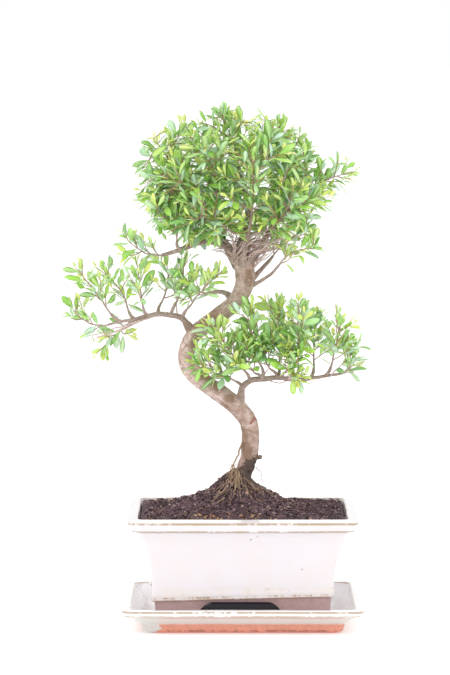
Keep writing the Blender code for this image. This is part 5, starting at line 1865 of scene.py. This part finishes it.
    def write_leaves(self, limb: Limb, base: Array, axis: Array, size: Array, tone: Array,
                     chance: np.random.Generator, leaf: bpy.types.Material) -> None:
        """Each leaf is a lens-shaped ring carried along a drooping midrib.

        The blade's half width follows a spoon shape that is widest at 0.62 of its length. Across it, v runs
        from -1 to 1: the surface rises by fold x |v| and the upper side is domed by 1 - v squared.

        Args:
            limb: The limb that carries the leaves.
            base: Where each leaf starts, shape (n, 3).
            axis: The way each leaf points, shape (n, 3).
            size: Share of the full-grown size, shape (n,).
            tone: 0 for an old leaf to 1 for a new one, shape (n,).
            chance: Source of chance.
            leaf: The leaves' material.
        """
        count = len(base)
        along = np.array([0.0, 0.08, 0.16, 0.32, 0.5, 0.68, 0.84, 0.95])
        half = np.array([0.07, 0.07, 0.22, 0.62, 0.92, 1.0, 0.78, 0.40])
        v = np.array([1.0, 0.5, 0.0, -0.5, -1.0, 0.0])
        top = np.array([0.0, 1.0, 1.0, 1.0, 0.0, -1.0])
        light = UP * 0.9 + axis * 0.15 + chance.normal(0, 0.42, (count, 3))
        light += unit(base - np.array((-6, 0, 380)) * MM) * 0.35
        normal = unit(light - np.sum(light * axis, -1, keepdims=True) * axis)
        across = np.cross(normal, axis)
        length = self.leaf_length * size
        width = self.leaf_width / 2 * size * chance.uniform(0.82, 1.12, count)
        fold = chance.uniform(0.10, 0.38, (count, 1, 1))
        droop = chance.uniform(-0.08, 0.26, (count, 1, 1))
        twist = chance.normal(0, 0.12, (count, 1, 1))
        u, w = along[None, :, None], half[None, :, None] * width[:, None, None]
        thick = 0.16 * MM
        rise = fold * np.abs(v) * w + thick * top * (1 - 0.75 * v**2) + twist * v * w * u
        rise = rise - droop * length[:, None, None] * u**2
        points = (base[:, None, None] + axis[:, None, None] * (length[:, None, None] * u)[..., None]
                  + across[:, None, None] * (v * w)[..., None] + normal[:, None, None] * rise[..., None])
        end = base + axis * length[:, None] - normal * (droop[:, 0] * length[:, None])
        poles = np.stack([base, end], 1)
        everything = np.concatenate([points.reshape(count, -1, 3), poles], axis=1)
        rows, columns = len(along), len(v)
        u_all = np.append(np.repeat(along, columns), [0, 1])
        v_all = np.append(np.tile(v, rows), [0, 0])
        under = np.append(np.tile((top < 0).astype(float), rows), [0.3, 0.3])
        size_of = everything.shape[1]
        piece = make_piece(limb.stem() + "_leaves", everything.reshape(-1, 3), skin(count, rows, columns),
                           tone=np.repeat(tone, size_of), shade=np.repeat(chance.random(count), size_of),
                           along=np.tile(u_all, count), across=np.tile(v_all, count),
                           under=np.tile(under, count))
        finish_piece(piece, leaf, "leaf", *limb.sprays())
        LOG.info("%s: %d leaves", piece.name, count)


# The scene.


def finish_piece(piece: bpy.types.Object, material: bpy.types.Material, slot: str, *nodes: str) -> None:
    """Gives a piece its material and its body, and hides the CAD nodes that it stands for."""
    piece.data.materials.append(material)
    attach(piece, BODY)
    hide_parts(*nodes)
    LOG.info("built %s", piece.name)


@dataclass
class Studio:
    """A pale floor, soft light from all round and a camera in front.

    Args:
        eye: The camera's place.
        tilt: How far it looks down, in degrees.
        lens: Its focal length in millimetres.
    """

    eye: Point = (-0.0177, -3.2687, 0.5731)
    tilt: float = 5.35
    lens: float = 187.96

    def build(self) -> None:
        """Builds the floor, the lights and the camera."""
        self.build_floor()
        self.build_light()
        camera = bpy.data.cameras.new("camera")
        camera.lens = self.lens
        camera.sensor_width = 36.0
        camera.clip_end = 50.0
        holder = bpy.data.objects.new("camera", camera)
        holder.location = self.eye
        holder.rotation_euler = (math.radians(90 - self.tilt), 0, 0)
        bpy.context.scene.collection.objects.link(holder)
        bpy.context.scene.camera = holder
        bpy.context.scene.view_settings.view_transform = "Standard"

    def build_floor(self) -> None:
        """A wide flat sheet under the tray."""
        size = 30.0
        corners = np.array([(-size, -size, 0), (size, -size, 0),
                            (size, size, 0), (-size, size, 0)], dtype=float)
        corners[:, 2] = -0.2 * MM
        floor = make_piece("floor", corners, [np.array([(0, 1, 2, 3)])])
        made = Finish("studio_floor")
        made.set(Base_Color=(0.90, 0.90, 0.91, 1), Roughness=0.9)
        made.set(Emission_Color=(1.0, 1.0, 1.0, 1), Emission_Strength=0.28)
        floor.data.materials.append(made.material)

    def build_light(self) -> None:
        """A white surround with a large key light on the left and a weaker one on the right."""
        world = bpy.data.worlds.new("studio")
        world.use_nodes = True
        world.node_tree.nodes["Background"].inputs[0].default_value = (1.0, 1.0, 1.0, 1)
        world.node_tree.nodes["Background"].inputs[1].default_value = 1.0
        bpy.context.scene.world = world
        lamps = (
            ("key", (-1.6, -1.8, 2.2), 1.6, 20.0, (1.0, 0.99, 0.97)),
            ("fill", (1.8, -1.4, 1.4), 1.6, 4.5, (0.97, 0.98, 1.0)),
            ("back", (0.3, 2.0, 1.8), 1.8, 9.0, (1.0, 1.0, 1.0)),
        )
        for name, place, size, power, colour in lamps:
            lamp = bpy.data.lights.new(name, "AREA")
            lamp.size = size
            lamp.energy = power
            lamp.color = colour
            holder = bpy.data.objects.new(name, lamp)
            holder.location = place
            aim = np.array((0, 0, 0.25)) - np.array(place)
            flat = math.hypot(aim[0], aim[1])
            holder.rotation_euler = (math.atan2(flat, -aim[2]), 0, math.atan2(-aim[0], aim[1]))
            bpy.context.scene.collection.objects.link(holder)


def dress_screens() -> None:
    """The CAD screens keep their shape and get their plastic."""
    plastic = PlasticFinish().build()
    for name in ("drain_screen_left", "drain_screen_right"):
        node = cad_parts[name]
        node.data.materials.clear()
        node.data.materials.append(plastic)


def main() -> None:
    """Builds every piece in order."""
    logging.basicConfig(level=logging.INFO, format="%(name)s: %(message)s")
    Studio().build()
    DripTray().build()
    pot = Pot()
    drill(pot.build(), pot.drain_places(), 10 * MM, 7 * MM)
    dress_screens()
    soil = Soil(pot)
    soil.build()
    Trunk(soil).build()
    foliage = Foliage(LIMBS)
    foliage.build()
    LOG.info("leaves in all: %d", foliage.leaf_total)


if __name__ == "__main__":
    main()
